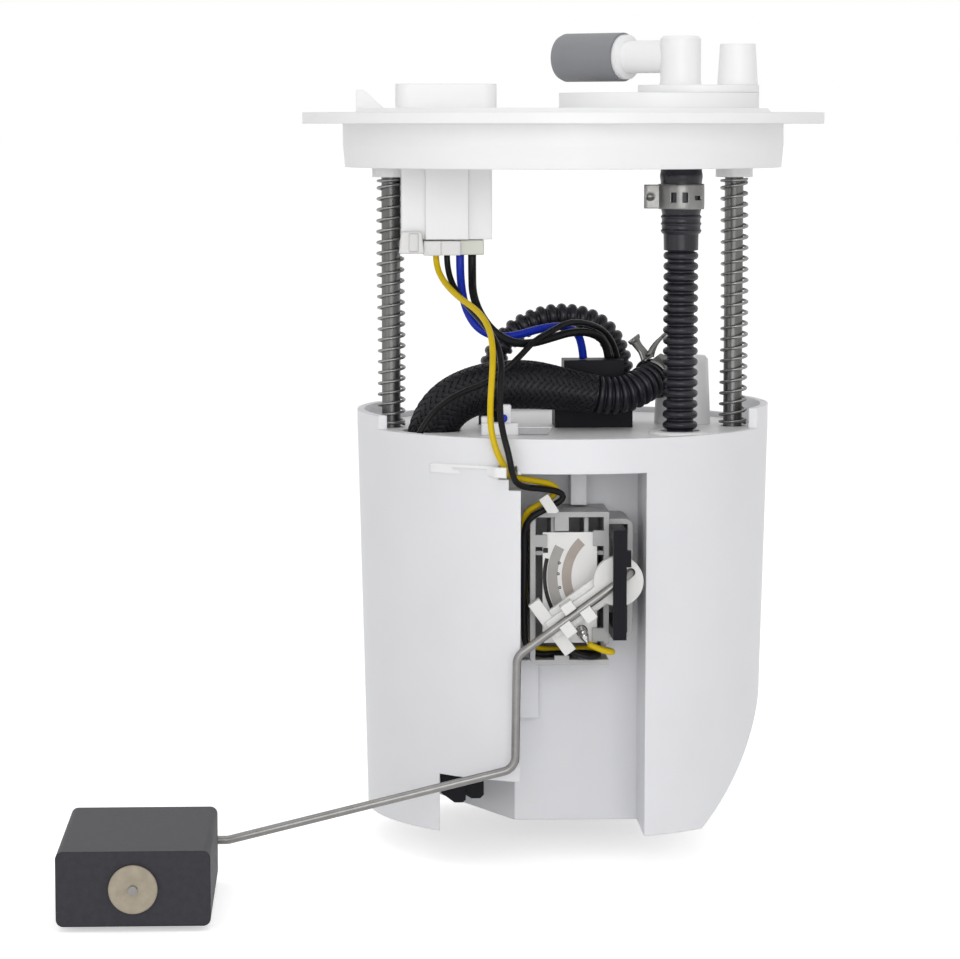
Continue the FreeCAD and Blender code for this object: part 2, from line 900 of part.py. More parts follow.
def make_guides():
    rod_radius = size.rod_diameter / 2
    groove_z = -size.cover_drop - size.guide_length - size.running_gap
    clip_thickness = size.rod_groove * 2
    for side, word in ((-1, "left"), (1, "right")):
        x = side * rod_x
        rod = lathe("rod_%s" % word, [
            (0, -size.rod_end_drop),
            (rod_radius - size.rod_groove, -size.rod_end_drop),
            (rod_radius, -size.rod_end_drop + size.rod_groove),
            (rod_radius, groove_z - clip_thickness),
            (rod_radius - size.rod_groove, groove_z - clip_thickness),
            (rod_radius - size.rod_groove, groove_z),
            (rod_radius, groove_z),
            (rod_radius, -size.rod_root - size.rod_groove),
            (rod_radius - size.rod_groove, -size.rod_root),
            (0, -size.rod_root),
        ], None, x)
        sub_part(rod, "guide_rod_%s" % word)

        clip_outer = size.guide_diameter / 2 - 0.4
        clip = lathe("clip_%s" % word, [
            (rod_radius - size.rod_groove, groove_z - clip_thickness),
            (clip_outer, groove_z - clip_thickness),
            (clip_outer, groove_z),
            (rod_radius - size.rod_groove, groove_z),
        ], None, x)
        sub_part(clip, "rod_clip_%s" % word)

        bush_outer = rod_radius + size.bush_wall
        bush_top = -size.cover_drop - size.running_gap
        bush = lathe("bush_%s" % word, [
            (rod_radius + size.slip, bush_top - size.guide_length / 2),
            (bush_outer, bush_top - size.guide_length / 2),
            (bush_outer, bush_top),
            (rod_radius + size.slip, bush_top),
        ], None, x)
        sub_part(bush, "guide_bush_%s" % word)

        seat = cover_top_z + size.running_gap
        spring_top = -size.rod_socket_drop - size.slip * 2
        turn_radius = (size.spring_diameter - size.spring_wire) / 2
        helix = doc.addObject("Part::Helix", "helix_%s" % word)
        bind(helix, "Radius", turn_radius)
        bind(helix, "Height", spring_top - seat - size.spring_wire)
        bind(helix, "Pitch", (spring_top - seat - size.spring_wire) / size.spring_turns)
        ring = doc.addObject("Part::RegularPolygon", "wire_section_%s" % word)
        ring.Polygon = 5
        bind(ring, "Circumradius", size.spring_wire / 2)
        place(ring, turn_radius, 0, 0, FACING_BACK)
        doc.recompute()
        coil = doc.addObject("Part::Sweep", "coil_%s" % word)
        coil.Sections = [ring]
        coil.Spine = (helix, ["Edge1"])
        coil.Solid = True
        coil.Frenet = True
        place(coil, x, 0, seat + size.spring_wire / 2)
        sub_part(coil, "spring_%s" % word)


# The supply hose and its clamp.

def make_hose():
    body = new_body("hose_moulding")
    cuff = size.hose_cuff_diameter / 2
    neck = size.hose_neck_diameter / 2
    crest = size.hose_crest_diameter / 2
    top = size.skirt_depth / 2
    profile = new_sketch(body, "hose_profile", "XZ_Plane")
    draw_outline(profile, [
        (0, -size.hose_end_drop),
        (neck, -size.hose_end_drop),
        (neck, -size.smooth_drop),
        (crest, -size.smooth_drop),
        (crest, -size.cuff_drop - 2),
        (cuff, -size.cuff_drop),
        (cuff, -top),
        (0, -top),
    ])
    turned(body, profile)
    fold = new_sketch(body, "hose_fold", "XZ_Plane")
    first = -size.smooth_drop - size.fold_pitch * 0.55
    draw_outline(fold, [
        (neck - 0.5, first - 0.85),
        (neck, first - 0.85),
        (crest, first - 0.45),
        (crest, first + 0.45),
        (neck, first + 0.85),
        (neck - 0.5, first + 0.85),
    ])
    ring = turned(body, fold)
    run = size.hose_end_drop - size.smooth_drop - size.fold_pitch
    count = int(run.value / size.fold_pitch.value)
    folds = body.newObject("PartDesign::LinearPattern", "hose_folds")
    folds.Originals = [ring]
    folds.Direction = (fold, ["V_Axis"])
    folds.Reversed = True
    folds.Mode = "Extent"
    folds.Length = size.fold_pitch.value * (count - 1)
    bind(folds, "Length", size.fold_pitch * (count - 1))
    folds.Occurrences = count
    body.Tip = folds
    bore = new_sketch(body, "hose_bore", "XZ_Plane")
    spigot = size.hose_bore / 2 + 1 + size.slip
    draw_outline(bore, [
        (0, -size.hose_end_drop - 1),
        (size.hose_bore / 2, -size.hose_end_drop - 1),
        (size.hose_bore / 2, -size.cuff_drop - 1),
        (spigot, -size.cuff_drop - 1),
        (spigot, -top + 1),
        (0, -top + 1),
    ])
    turned(body, bore, cut=True)
    place(body, size.hose_x, size.hose_y, 0)
    sub_part(body, "supply_hose")

    low = -size.clamp_top_drop - size.clamp_width
    inner = cuff + size.slip
    ring_outer = cuff + size.clamp_band
    ring = cylinder("clamp_ring", size.hose_x, size.hose_y, low, ring_outer, size.clamp_width)
    hole = cylinder("clamp_hole", size.hose_x, size.hose_y, low - 1, inner, size.clamp_width + 2)
    ear = box(
        "clamp_ear",
        size.hose_x - ring_outer - size.clamp_ear + 0.6,
        size.hose_x - inner,
        size.hose_y - 1.5,
        size.hose_y + 1.5,
        low,
        low + size.clamp_width,
    )
    pinch = box(
        "clamp_pinch",
        size.hose_x - ring_outer - size.clamp_ear + 1.4,
        size.hose_x - ring_outer,
        size.hose_y - 0.7,
        size.hose_y + 0.7,
        low - 1,
        low + size.clamp_width + 1,
    )
    slots = []
    for number, turn in enumerate((-60, -90, -120)):
        slot = doc.addObject("Part::Box", "clamp_slot_%d" % number)
        slot.Length = 3
        slot.Width = 1.2
        slot.Height = 2.4
        across = FreeCAD.Rotation(FreeCAD.Vector(0, 0, 1), turn)
        shift = across.multVec(FreeCAD.Vector(inner.value - 1, -0.6, 0))
        place(
            slot,
            size.hose_x + shift.x,
            size.hose_y + shift.y,
            low + size.clamp_width / 2 - 1.2,
            across,
        )
        slots.append(slot)
    solid = fused("clamp_solid", [ring, ear])
    sub_part(cut("clamp_cut", solid, fused("clamp_tools", [hole, pinch] + slots)), "hose_clamp")


# The reservoir.

def cone(name, x, y, low, low_radius, high_radius, length):
    """A tapered drum that stands on its low end."""
    drum = doc.addObject("Part::Cone", name)
    for field, number in (
        ("Radius1", low_radius), ("Radius2", high_radius), ("Height", length),
    ):
        setattr(drum, field, as_size(number).value)
        bind(drum, field, number)
    place(drum, x, y, low)
    return drum


def draw_flank(sketch, inset):
    """What the curved lower right flank leaves out, seen from the front."""
    centre = vector(size.flank_centre_x, -size.flank_centre_drop, 0)
    reach = size.flank_radius - inset
    radius = reach.value
    below = bottom_z - 1
    drop = (size.flank_centre_drop + below).value
    start = math.asin(drop / radius)
    circle = Part.Circle(centre, FreeCAD.Vector(0, 0, 1), radius)
    arc = sketch.addGeometry(Part.ArcOfCircle(circle, start, 0), False)
    foot = FreeCAD.Vector(centre.x + radius * math.cos(start), below.value, 0)
    shoulder = FreeCAD.Vector(centre.x + radius, centre.y, 0)
    far = size.flank_centre_x + size.flank_radius + 20
    low_corner = FreeCAD.Vector(far.value, below.value, 0)
    high_corner = FreeCAD.Vector(far.value, centre.y, 0)
    lines = [
        sketch.addGeometry(Part.LineSegment(start_point, end_point), False)
        for start_point, end_point in (
            (shoulder, high_corner), (high_corner, low_corner), (low_corner, foot),
        )
    ]
    for first, vertex, second, other in (
        (arc, 2, lines[0], 1), (lines[0], 2, lines[1], 1),
        (lines[1], 2, lines[2], 1), (lines[2], 2, arc, 1),
    ):
        sketch.addConstraint(Sketcher.Constraint("Coincident", first, vertex, second, other))
    hold_point(sketch, arc, 3, size.flank_centre_x, -size.flank_centre_drop)
    hold_point(sketch, arc, 2, size.flank_centre_x + reach, -size.flank_centre_drop)
    hold_point(sketch, lines[1], 1, far, -size.flank_centre_drop)
    hold_point(sketch, lines[1], 2, far, below)
    index = sketch.addConstraint(
        Sketcher.Constraint("DistanceY", -1, 1, arc, 1, below.value)
    )
    sketch.setExpression("Constraints[%d]" % index, below.text)


def reservoir_form(name, inset, rise):
    """The tapered bucket with its flank, recess and foot notch cut out.

    The outside has no inset. The cavity is the same form, smaller by the wall.
    """
    rim_radius = size.rim_diameter / 2
    depth = size.bottom_drop - size.rim_drop
    body = new_body(name)
    profile = new_sketch(body, name + "_profile", "XZ_Plane")
    draw_outline(profile, [
        (0, bottom_z + inset),
        (size.base_diameter / 2 - inset, bottom_z + inset),
        (rim_radius - inset, rim_z + rise),
        (0, rim_z + rise),
    ])
    turned(body, profile)
    flank = new_sketch(body, name + "_flank", "XZ_Plane")
    draw_flank(flank, inset)
    pocket(body, flank, size.rim_diameter + 20, middle=True)
    recess = new_sketch(body, name + "_recess", "XY_Plane", inset - size.recess_top_drop)
    front = -rim_radius - 20
    draw_box(
        recess, size.recess_left - inset, size.recess_right + inset,
        front, size.recess_back + inset,
    )
    pocket(body, recess, depth)
    notch = new_sketch(body, name + "_notch", "XY_Plane", inset - size.notch_top_drop)
    draw_outline(notch, [
        (size.notch_left - inset, front),
        (size.recess_left + 2, front),
        (size.recess_left + 2, size.recess_back + inset),
        (size.recess_left + inset / 2, size.recess_back + inset),
        (size.notch_left - inset, -size.recess_back / 2 + inset * 2),
    ])
    pocket(body, notch, depth)
    return body


def make_reservoir():
    """The bucket with its tabs, guide columns, cover ledge and wire slot."""
    rim_radius = size.rim_diameter / 2
    base_radius = size.base_diameter / 2
    wall = size.reservoir_wall
    depth = size.bottom_drop - size.rim_drop
    outside = reservoir_form("reservoir_outside", as_size(0), as_size(0))
    cavity = reservoir_form("reservoir_cavity", wall, as_size(1))
    shell = cut("reservoir_shell", outside, cavity)

    inner = cone(
        "reservoir_inside", 0, 0, bottom_z - 1, base_radius - wall, rim_radius - wall, depth + 1.1
    )

    # The lower left panel stands proud: the same taper, moved to the front.
    panel_top = -size.recess_top_drop + size.panel_step / 2
    proud = cone(
        "panel_form", size.panel_shift, -size.panel_shift, bottom_z, base_radius, rim_radius, depth
    )
    area = box(
        "panel_area", size.notch_left - size.panel_step, size.recess_left,
        -rim_radius - 5, size.recess_back, bottom_z, panel_top,
    )
    panel = cut("panel_skin", common("panel_block", [proud, area]), inner)

    pieces = [shell, panel]
    for side, word, rise in ((-1, "left", size.left_tab_rise), (1, "right", size.right_tab_rise)):
        ring_outer = cylinder("tab_outer_%s" % word, 0, 0, rim_z - 0.2, rim_radius, rise + 0.2)
        ring_inner = cylinder("tab_inner_%s" % word, 0, 0, rim_z - 1, rim_radius - wall, rise + 2)
        reach = size.tab_half_width
        ends = (rim_radius + 1, size.tab_half_width)
        window = box(
            "tab_window_%s" % word,
            -ends[0] if side < 0 else ends[1],
            -ends[1] if side < 0 else ends[0],
            -reach, reach, rim_z - 0.2, rim_z + rise,
        )
        pieces.append(cut("tab_%s" % word, common("tab_block_%s" % word, [ring_outer, window]), ring_inner))
        column_low = -size.cover_drop - size.guide_length
        pieces.append(cylinder(
            "guide_column_%s" % word, side * rod_x, 0, column_low,
            size.guide_diameter / 2, size.guide_length,
        ))
        web_outer = rim_radius - wall / 2 - size.panel_step / 2
        pieces.append(box(
            "guide_web_%s" % word,
            -web_outer if side < 0 else rod_x,
            -rod_x if side < 0 else web_outer,
            -size.web_wall, size.web_wall, column_low, -size.cover_drop,
        ))

    # The ledge that carries the cover.
    ledge_outer = cylinder(
        "ledge_outer", 0, 0, -size.cover_drop - 2.4, rim_inner_radius + wall / 2, 2.4
    )
    ledge_inner = cylinder(
        "ledge_inner", 0, 0, -size.cover_drop - 3, rim_inner_radius - 2.6, 4
    )
    pieces.append(cut("ledge", ledge_outer, ledge_inner))

    # The rib that steadies the sender bracket in the recess.
    rib_width = size.housing_wall * 3
    pieces.append(box(
        "recess_rib", 0, rib_width, size.recess_back - 9, size.recess_back,
        -size.housing_top_drop + size.running_gap * 2, -size.recess_top_drop + wall,
    ))
    pieces.append(box(
        "recess_step", size.recess_left - wall / 2, size.recess_left + 6.6,
        size.recess_back - 5, size.recess_back + wall / 2,
        -size.housing_bottom_drop - 18, -size.housing_bottom_drop - 1,
    ))

    # Two plates close the wire slot off from the inside of the bucket.
    slot_floor = -size.recess_top_drop - size.slot_floor_drop
    guard_low = slot_floor - size.slot_depth / 2
    guard_back = -rim_radius + size.slot_depth
    pieces.append(box(
        "slot_back", size.slot_left - size.guard_wall, size.recess_left - wall / 2,
        guard_back, guard_back + size.guard_wall, guard_low, -size.cover_drop - size.running_gap,
    ))
    pieces.append(box(
        "slot_side", size.slot_left - size.guard_wall, size.slot_left,
        guard_back - 4.6, guard_back + size.guard_wall, guard_low, -size.cover_drop - size.running_gap,
    ))

    tools = []
    for side, word in ((-1, "left"), (1, "right")):
        tools.append(cylinder(
            "guide_bore_%s" % word, side * rod_x, 0, -size.cover_drop - size.guide_length - 1,
            size.rod_diameter / 2 + size.clear_gap, size.guide_length + 2,
        ))
        tools.append(cylinder(
            "bush_seat_%s" % word, side * rod_x, 0,
            -size.cover_drop - size.guide_length / 2 - size.running_gap,
            size.rod_diameter / 2 + size.bush_wall, size.guide_length,
        ))
    # The gap at the panel's top corner, where the sender wires turn in.
    slot_top = -size.recess_top_drop + size.slot_lift
    gap_low = slot_floor - size.thick_wire - size.running_gap * 2
    tools.append(box(
        "wire_slot", size.slot_left, size.recess_left - 0.9,
        -rim_radius - 6, -rim_radius + 8, slot_floor, slot_top,
    ))
    tools.append(box(
        "wire_gap", size.slot_middle, size.recess_left + 1,
        -rim_radius - 6, -rim_radius + 8, gap_low, -size.recess_top_drop,
    ))
    tools.append(box(
        "wire_pass", size.slot_left, size.recess_left - 0.9,
        -rim_radius + 2.7, -rim_radius + size.slot_depth, gap_low, slot_top,
    ))
    tools.append(box(
        "wire_door", size.slot_middle, size.recess_left + 3,
        -rim_radius + 2.7, -rim_radius + size.slot_depth, gap_low, -size.recess_top_drop,
    ))
    tools.append(box(
        "notch_window", size.notch_left, size.recess_left + 1,
        -rim_radius - 6, size.recess_back, bottom_z - 1, -size.notch_top_drop,
    ))
    solid = fused("reservoir_solid", pieces)
    sub_part(cut("reservoir_cut", solid, fused("reservoir_tools", tools)), "reservoir")


# The cover and what stands on it.

# Where the riser tube meets the side spigot of the regulator housing.
RISER_BEFORE_END = (24, -9, -76)
RISER_END = (31.3, -0.5, -71.8)


def make_cover():
    carrier_outer = size.pump_diameter / 2 + size.cover_thickness
    low = -size.cover_drop
    disc = cylinder(
        "cover_disc", 0, 0, low, rim_inner_radius - size.cover_gap, size.cover_thickness
    )
    sleeve = cylinder(
        "pump_sleeve", size.pump_x, size.pump_y, low - size.pump_length * 0.7,
        carrier_outer, size.pump_length * 0.7,
    )
    rim = cylinder("cover_outlet_rim", size.hose_x, size.hose_y, low, 9, size.cover_thickness + 0.8)
    solid = fused("cover_solid", [disc, sleeve, rim])
    tools = [
        cylinder(
            "pump_seat", size.pump_x, size.pump_y, low - size.pump_length * 0.7 - 1,
            size.pump_diameter / 2, size.pump_length * 0.7 + 1,
        ),
        cylinder(
            "hose_hole", size.hose_x, size.hose_y, low - 1,
            size.hose_crest_diameter / 2 + size.clear_gap, size.cover_thickness + 3,
        ),
        cylinder("wire_hole", -44.2, -32.4, low - 1, size.thin_wire * 1.25, size.cover_thickness + 2),
    ]
    ports = (
        ("pump_port", size.pump_x + size.pump_outlet_offset, size.pump_y, size.pump_outlet_diameter),
        ("filter_port", size.filter_spigot_x, size.filter_spigot_y, size.pump_outlet_diameter),
        ("sleeve_port", size.sleeve_x + 0.6, size.sleeve_y, size.sleeve_diameter + 3.4),
    )
    for name, x, y, diameter in ports:
        tools.append(cylinder(
            name, x, y, low - 1, diameter / 2 + size.running_gap, size.cover_thickness + 2
        ))
    for side, word in ((-1, "left"), (1, "right")):
        tools.append(cylinder(
            "rod_hole_%s" % word, side * rod_x, 0, low - 1,
            size.rod_diameter / 2 + size.clear_gap, size.cover_thickness + 2,
        ))
    sub_part(cut("cover_cut", solid, fused("cover_tools", tools)), "reservoir_cover")

    top = cover_top_z
    lower = box("connector_lower", -2.5, 20.4, -5.2, 8.5, top, top + size.connector_step)
    upper = box(
        "connector_upper", 0.2, 18, -4.6, 7.5, top + size.connector_step, top + size.connector_rise
    )
    sub_part(fused("connector_solid", [lower, upper]), "pump_connector")

    outer = size.regulator_diameter / 2
    bore = outer - size.reservoir_wall
    roof = top + size.regulator_rise - size.reservoir_wall
    turned_housing = lathe("regulator_body", [
        (bore, top), (outer, top), (outer - 0.8, top + size.regulator_rise - 1),
        (outer - 1.6, top + size.regulator_rise), (0, top + size.regulator_rise),
        (0, roof), (bore, roof),
    ], None, size.regulator_x, size.regulator_y)
    into_housing = FreeCAD.Vector(*RISER_END) - FreeCAD.Vector(*RISER_BEFORE_END)
    to_axis = vector(size.regulator_x, size.regulator_y, RISER_END[2]) - FreeCAD.Vector(*RISER_END)
    spigot = cylinder(
        "regulator_spigot", RISER_END[0], RISER_END[1], RISER_END[2], size.loop_diameter / 2,
        to_axis.Length - bore.value - 0.5,
        FreeCAD.Rotation(FreeCAD.Vector(0, 0, 1), into_housing),
    )
    sub_part(fused("regulator_solid", [turned_housing, spigot]), "regulator_housing")
    capsule = lathe("regulator_capsule", [
        (0, top + 0.4), (3, top + 0.4), (3, top + 3), (bore, top + 3), (bore, top + 9),
        (bore - 1.4, top + 10), (bore - 1.4, roof), (0, roof),
    ], None, size.regulator_x, size.regulator_y)
    sub_part(capsule, "pressure_regulator")

    latch = fused("latch_solid", [
        box("latch_base", -24, -11, -31, -26, top, top + 1.8),
        box("latch_post", -17.6, -14, -30, -27, top + 1.8, top + 4.6),
        cylinder("latch_button", -21.6, -28.5, top + 1.8, 1.3, 1),
    ])
    sub_part(latch, "cover_latch")


# The pump, with its motor, impeller and strainer.

def make_pump():
    outer = size.pump_diameter / 2
    inside = outer - size.pump_shell
    top = -size.pump_top_drop
    low = top - size.pump_length
    end = size.pump_end_length
    shaft = size.shaft_diameter / 2
    x, y = size.pump_x, size.pump_y
    case = lathe("case_tube", [
        (inside, low), (outer, low), (outer, top), (inside, top),
    ], None, x, y)
    sub_part(case, "pump_case")

    head = lathe("head_moulding", [
        (shaft + size.slip, top - end), (inside, top - end), (inside, top), (outer, top),
        (outer, top + 2), (outer - 2, top + 4), (0, top + 4), (0, top - 2),
        (shaft + size.slip, top - 2),
    ], None, x, y)
    outlet_radius = size.pump_outlet_diameter / 2
    outlet_x = x + size.pump_outlet_offset
    outlet = cylinder("head_outlet", outlet_x, y, top + 2, outlet_radius, size.pump_outlet_rise - 2)
    passage = cylinder(
        "head_passage", outlet_x, y, top - end - 1, outlet_radius - 1.2,
        end + size.pump_outlet_rise + 2,
    )
    sub_part(cut("head_cut", fused("head_solid", [head, outlet]), passage), "pump_head")

    foot = lathe("foot_moulding", [
        (shaft + size.slip, low + end), (inside, low + end), (inside, low), (outer, low),
        (outer, low - 2), (5.4, low - 4), (5.4, low - 12), (3.4, low - 12), (3.4, low + 1),
        (shaft + size.slip, low + 1),
    ], None, x, y)
    chamber = cylinder(
        "impeller_chamber", x, y, low + end - size.impeller_thickness - 0.2,
        size.impeller_diameter / 2 + 0.2, size.impeller_thickness + 1,
    )
    sub_part(cut("foot_cut", foot, chamber), "pump_base")

    rotor_low = low + end + 4
    rotor_top = top - end - 8
    rotor_radius = size.rotor_diameter / 2
    rotor = lathe("rotor_turned", [
        (0, low + end - size.impeller_thickness - 1.6), (shaft, low + end - size.impeller_thickness - 1.6),
        (shaft, rotor_low), (rotor_radius - 2, rotor_low), (rotor_radius, rotor_low + 2),
        (rotor_radius, rotor_top - 2), (rotor_radius - 2, rotor_top),
        (shaft * 2.4, rotor_top), (shaft * 2.4, rotor_top + 6), (shaft, rotor_top + 6),
        (shaft, top - 2.6), (0, top - 2.6),
    ], None, x, y)
    sub_part(rotor, "motor_rotor")

    magnets = []
    for number, turn in enumerate((20, 200)):
        arc = doc.addObject("Part::Cylinder", "magnet_arc_%d" % number)
        arc.Angle = 140
        bind(arc, "Radius", inside)
        bind(arc, "Height", rotor_top - rotor_low)
        place(arc, x, y, rotor_low, FreeCAD.Rotation(FreeCAD.Vector(0, 0, 1), turn))
        magnets.append(arc)
    hollow = cylinder(
        "magnet_hollow", x, y, rotor_low - 1, inside - size.magnet_wall, rotor_top - rotor_low + 2
    )
    pair = doc.addObject("Part::Compound", "magnet_pair")
    pair.Links = magnets
    sub_part(cut("magnet_cut", pair, hollow), "motor_magnets")

    brushes = []
    for number, side in enumerate((-1, 1)):
        near = side * (shaft * 2.4 + size.slip)
        far = side * (shaft * 2.4 + 5)
        brushes.append(box(
            "brush_%d" % number,
            x + (far if side < 0 else near), x + (near if side < 0 else far),
            y - 1.8, y + 1.8, rotor_top + 1, top - end,
        ))
    brush_pair = doc.addObject("Part::Compound", "brush_pair")
    brush_pair.Links = brushes
    sub_part(brush_pair, "motor_brushes")

    wheel = new_body("impeller_wheel")
    wheel_low = low + end - size.impeller_thickness
    disc = new_sketch(wheel, "impeller_disc", "XY_Plane", wheel_low)
    draw_circle(disc, 0, 0, size.impeller_diameter / 2)
    pad(wheel, disc, size.impeller_thickness - 0.2)
    hole = new_sketch(wheel, "impeller_hole", "XY_Plane", wheel_low)
    draw_circle(hole, 0, 0, shaft)
    pocket(wheel, hole, size.impeller_thickness, back=True)
    gap = new_sketch(wheel, "impeller_gap", "XY_Plane", wheel_low)
    draw_box(gap, size.impeller_diameter / 2 - 3.2, size.impeller_diameter / 2 + 1, -0.9, 0.9)
    slot = pocket(wheel, gap, size.impeller_thickness, back=True)
    polar(wheel, slot, gap, size.impeller_blades)
    place(wheel, x, y, 0)
    sub_part(wheel, "pump_impeller")

    sock = new_body("strainer_sock")
    sock_top = low - 12
    outline = new_sketch(sock, "sock_outline", "XY_Plane", sock_top - size.strainer_thickness)
    draw_outline(outline, [
        (-size.strainer_length / 2, -size.strainer_width / 3),
        (-size.strainer_length / 2 + 8, -size.strainer_width / 2),
        (size.strainer_length / 2 - 14, -size.strainer_width / 2),
        (size.strainer_length / 2, -size.strainer_width / 4),
        (size.strainer_length / 2, size.strainer_width / 4),
        (size.strainer_length / 2 - 14, size.strainer_width / 2),
        (-size.strainer_length / 2 + 8, size.strainer_width / 2),
        (-size.strainer_length / 2, size.strainer_width / 3),
    ])
    pad(sock, outline, size.strainer_thickness)
    round_edges(sock, 2, lambda edge: abs(edge.CenterOfMass.z - (sock_top - size.strainer_thickness).value) < 0.01)
    place(sock, x, y + 2, 0)
    sub_part(sock, "inlet_strainer")

    filter_top = -size.cover_drop
    radius = size.filter_diameter / 2
    filter_low = filter_top - size.filter_length
    canister = lathe("filter_canister", [
        (0, filter_low), (radius - 3.5, filter_low), (radius, filter_low + 3),
        (radius, filter_top - 4), (radius + 0.7, filter_top - 3), (radius + 0.7, filter_top),
        (0, filter_top),
    ], None, size.filter_x, size.filter_y)
    spigot = cylinder(
        "filter_spigot", size.filter_spigot_x, size.filter_spigot_y, filter_top - 1,
        size.pump_outlet_diameter / 2, 7,
    )
    sub_part(fused("filter_solid", [canister, spigot]), "fuel_filter")

    # The foot valve in the notch at the lower left.
    valve_top = -size.notch_top_drop
    block = new_body("valve_block")
    outline = new_sketch(block, "valve_outline", "XZ_Plane")
    draw_outline(outline, [
        (-37.2, valve_top), (-37.2, -190.6), (-33.4, -193.4), (-31, -193.4), (-30.2, -192.6),
        (-30.2, valve_top),
    ])
    pad(block, outline, as_size(8), middle=True)
    place(block, 0, -38, 0)
    side = new_body("valve_side")
    outline = new_sketch(side, "valve_side_outline", "XZ_Plane")
    draw_outline(outline, [
        (-30.4, valve_top), (-30.4, -191.2), (-28.6, -192.4), (-26, -192.4), (-25, -191.4),
        (-25, valve_top),
    ])
    pad(side, outline, as_size(6), middle=True)
    place(side, 0, -38, 0)
    sub_part(fused("valve_solid", [block, side]), "foot_valve")


# The level sender.

def local_box(name, near, far, low_side, high_side, front, back):
    """A block along the sender arm, before the arm is turned."""
    return box(name, near, far, front, back, low_side, high_side)


def make_sender():
    top = -size.housing_top_drop
    low = -size.housing_bottom_drop
    front = size.housing_front
    back = size.recess_back
    wall = size.housing_wall
    depth = back - front
    tray = new_body("sender_tray")
    frame = new_sketch(tray, "tray_frame", "XZ_Plane", -back)
    draw_box(frame, size.housing_left, size.housing_right, low, top)
    pad(tray, frame, depth)
    bay = new_sketch(tray, "tray_bay", "XZ_Plane", -back)
    draw_box(bay, size.housing_right - 1, size.bay_right, -size.bay_bottom_drop, -size.bay_top_drop)
    pad(tray, bay, depth - 1)
    round_edges(
        tray,
        2.4,
        lambda edge: isinstance(edge.Curve, Part.Line)
        and abs(abs(edge.Curve.Direction.y) - 1) < 1e-6
        and (edge.CenterOfMass.x < size.housing_left.value + 0.1
             or edge.CenterOfMass.x > size.bay_right.value - 0.1),
    )
    hollow = new_sketch(tray, "tray_hollow", "XZ_Plane", -front)
    draw_box(hollow, size.housing_left + wall, size.housing_right - wall, low + wall, top - wall)
    pocket(tray, hollow, depth - size.housing_floor)
    bay_hollow = new_sketch(tray, "tray_bay_hollow", "XZ_Plane", -front)
    draw_box(
        bay_hollow, size.housing_right, size.bay_right - wall,
        -size.bay_bottom_drop + wall, -size.bay_top_drop - wall,
    )
    pocket(tray, bay_hollow, depth - size.housing_floor)

    card_back = size.card_front + size.card_thickness
    rib_back = back - size.housing_floor / 2
    pieces = [tray]
    for number, x in enumerate((size.card_left + 2.4, size.card_right - 3.6)):
        pieces.append(box(
            "tray_rib_%d" % number, x, x + 1.2, card_back, rib_back,
            -size.card_bottom_drop + 2.2, top - wall / 2,
        ))
    pieces.append(box(
        "tray_cross_rib", size.housing_left + wall / 2, size.housing_right - wall / 2,
        card_back, rib_back, pivot_z + 6, pivot_z + 7.2,
    ))
    teeth = (
        ("tooth_left", size.housing_left + wall / 2, size.card_left + 1.2, -118.8, -115.4),
        ("tooth_right", size.card_right - 1.2, size.housing_right - wall / 2, -118.6, -114.2),
        ("tooth_low", size.card_right - 1.4, size.housing_right - wall / 2, -145.8, -142),
        ("tooth_top", -5.4, -1.4, -114.3, top - wall / 2),
        ("tooth_base", -5.4, -1.2, low + wall / 2, -149.8),
    )
    for name, left, right, bottom, high in teeth:
        pieces.append(box(name, left, right, front, size.card_front - size.slip, bottom, high))
    axle = cylinder(
        "hub_axle", size.pivot_x, rib_back, pivot_z, size.axle_diameter / 2,
        rib_back - size.hub_front - 1, FACING_FRONT,
    )
    pieces.append(axle)
    solid = fused("tray_solid", pieces)
    tools = fused("tray_tools", [
        box("lead_entry", size.housing_left - 1, size.housing_left + wall + 0.5, -50, -42, -150.9, -145.5),
        box("lead_exit", size.housing_right - wall - 0.5, size.housing_right + 1, front - 1, -41, -151, -146.4),
    ])
    sub_part(cut("tray_cut", solid, tools), "sender_housing")

    card = box(
        "card_plate", size.card_left, size.card_right, size.card_front, card_back,
        -size.card_bottom_drop, -size.card_top_drop,
    )
    sub_part(card, "resistor_card")

    strips = []
    track_rows = ((12.5, 15.2, 137, 82), (17, 19.4, 154, 66), (19.8, 20.4, 160, 58))
    for number, (inner, outer, start, sweep) in enumerate(track_rows):
        strips.append(arc_strip("track_%d" % number, inner, outer, start, sweep))
    tracks = doc.addObject("Part::Compound", "track_set")
    tracks.Links = strips
    sub_part(tracks, "resistor_tracks")

    terminals = doc.addObject("Part::Compound", "terminal_set")
    terminal_front = size.card_front - 1.6
    terminals.Links = [
        box("terminal_left", -4.6, -2.4, terminal_front, size.card_front, -146, -143.2),
        box("terminal_right", 1.4, 4, terminal_front, size.card_front, -146, -142.2),
    ]
    sub_part(terminals, "card_terminals")

    bar_front = size.arm_plane - size.arm_wire / 2 - size.clear_gap
    bar_left = size.housing_right + size.slip
    bar_right = size.bay_right - wall - size.running_gap
    clip = fused("clip_solid", [
        box("clip_bar", bar_left, bar_left + 3.7, bar_front - 2, bar_front,
            -size.bay_bottom_drop + wall, -size.bay_top_drop - wall),
        box("clip_pad", bar_left, bar_right, bar_front - 2, bar_front, pivot_z + 4.6, pivot_z + 9.2),
        box("clip_leg_top", bar_left, bar_left + 3.7, bar_front - 1, back - size.housing_floor,
            -size.bay_top_drop - wall - 3, -size.bay_top_drop - wall),
        box("clip_leg_low", bar_left, bar_left + 3.7, bar_front - 1, back - size.housing_floor,
            -size.bay_bottom_drop + wall, -size.bay_bottom_drop + wall + 3),
    ])
    sub_part(clip, "sender_clip")


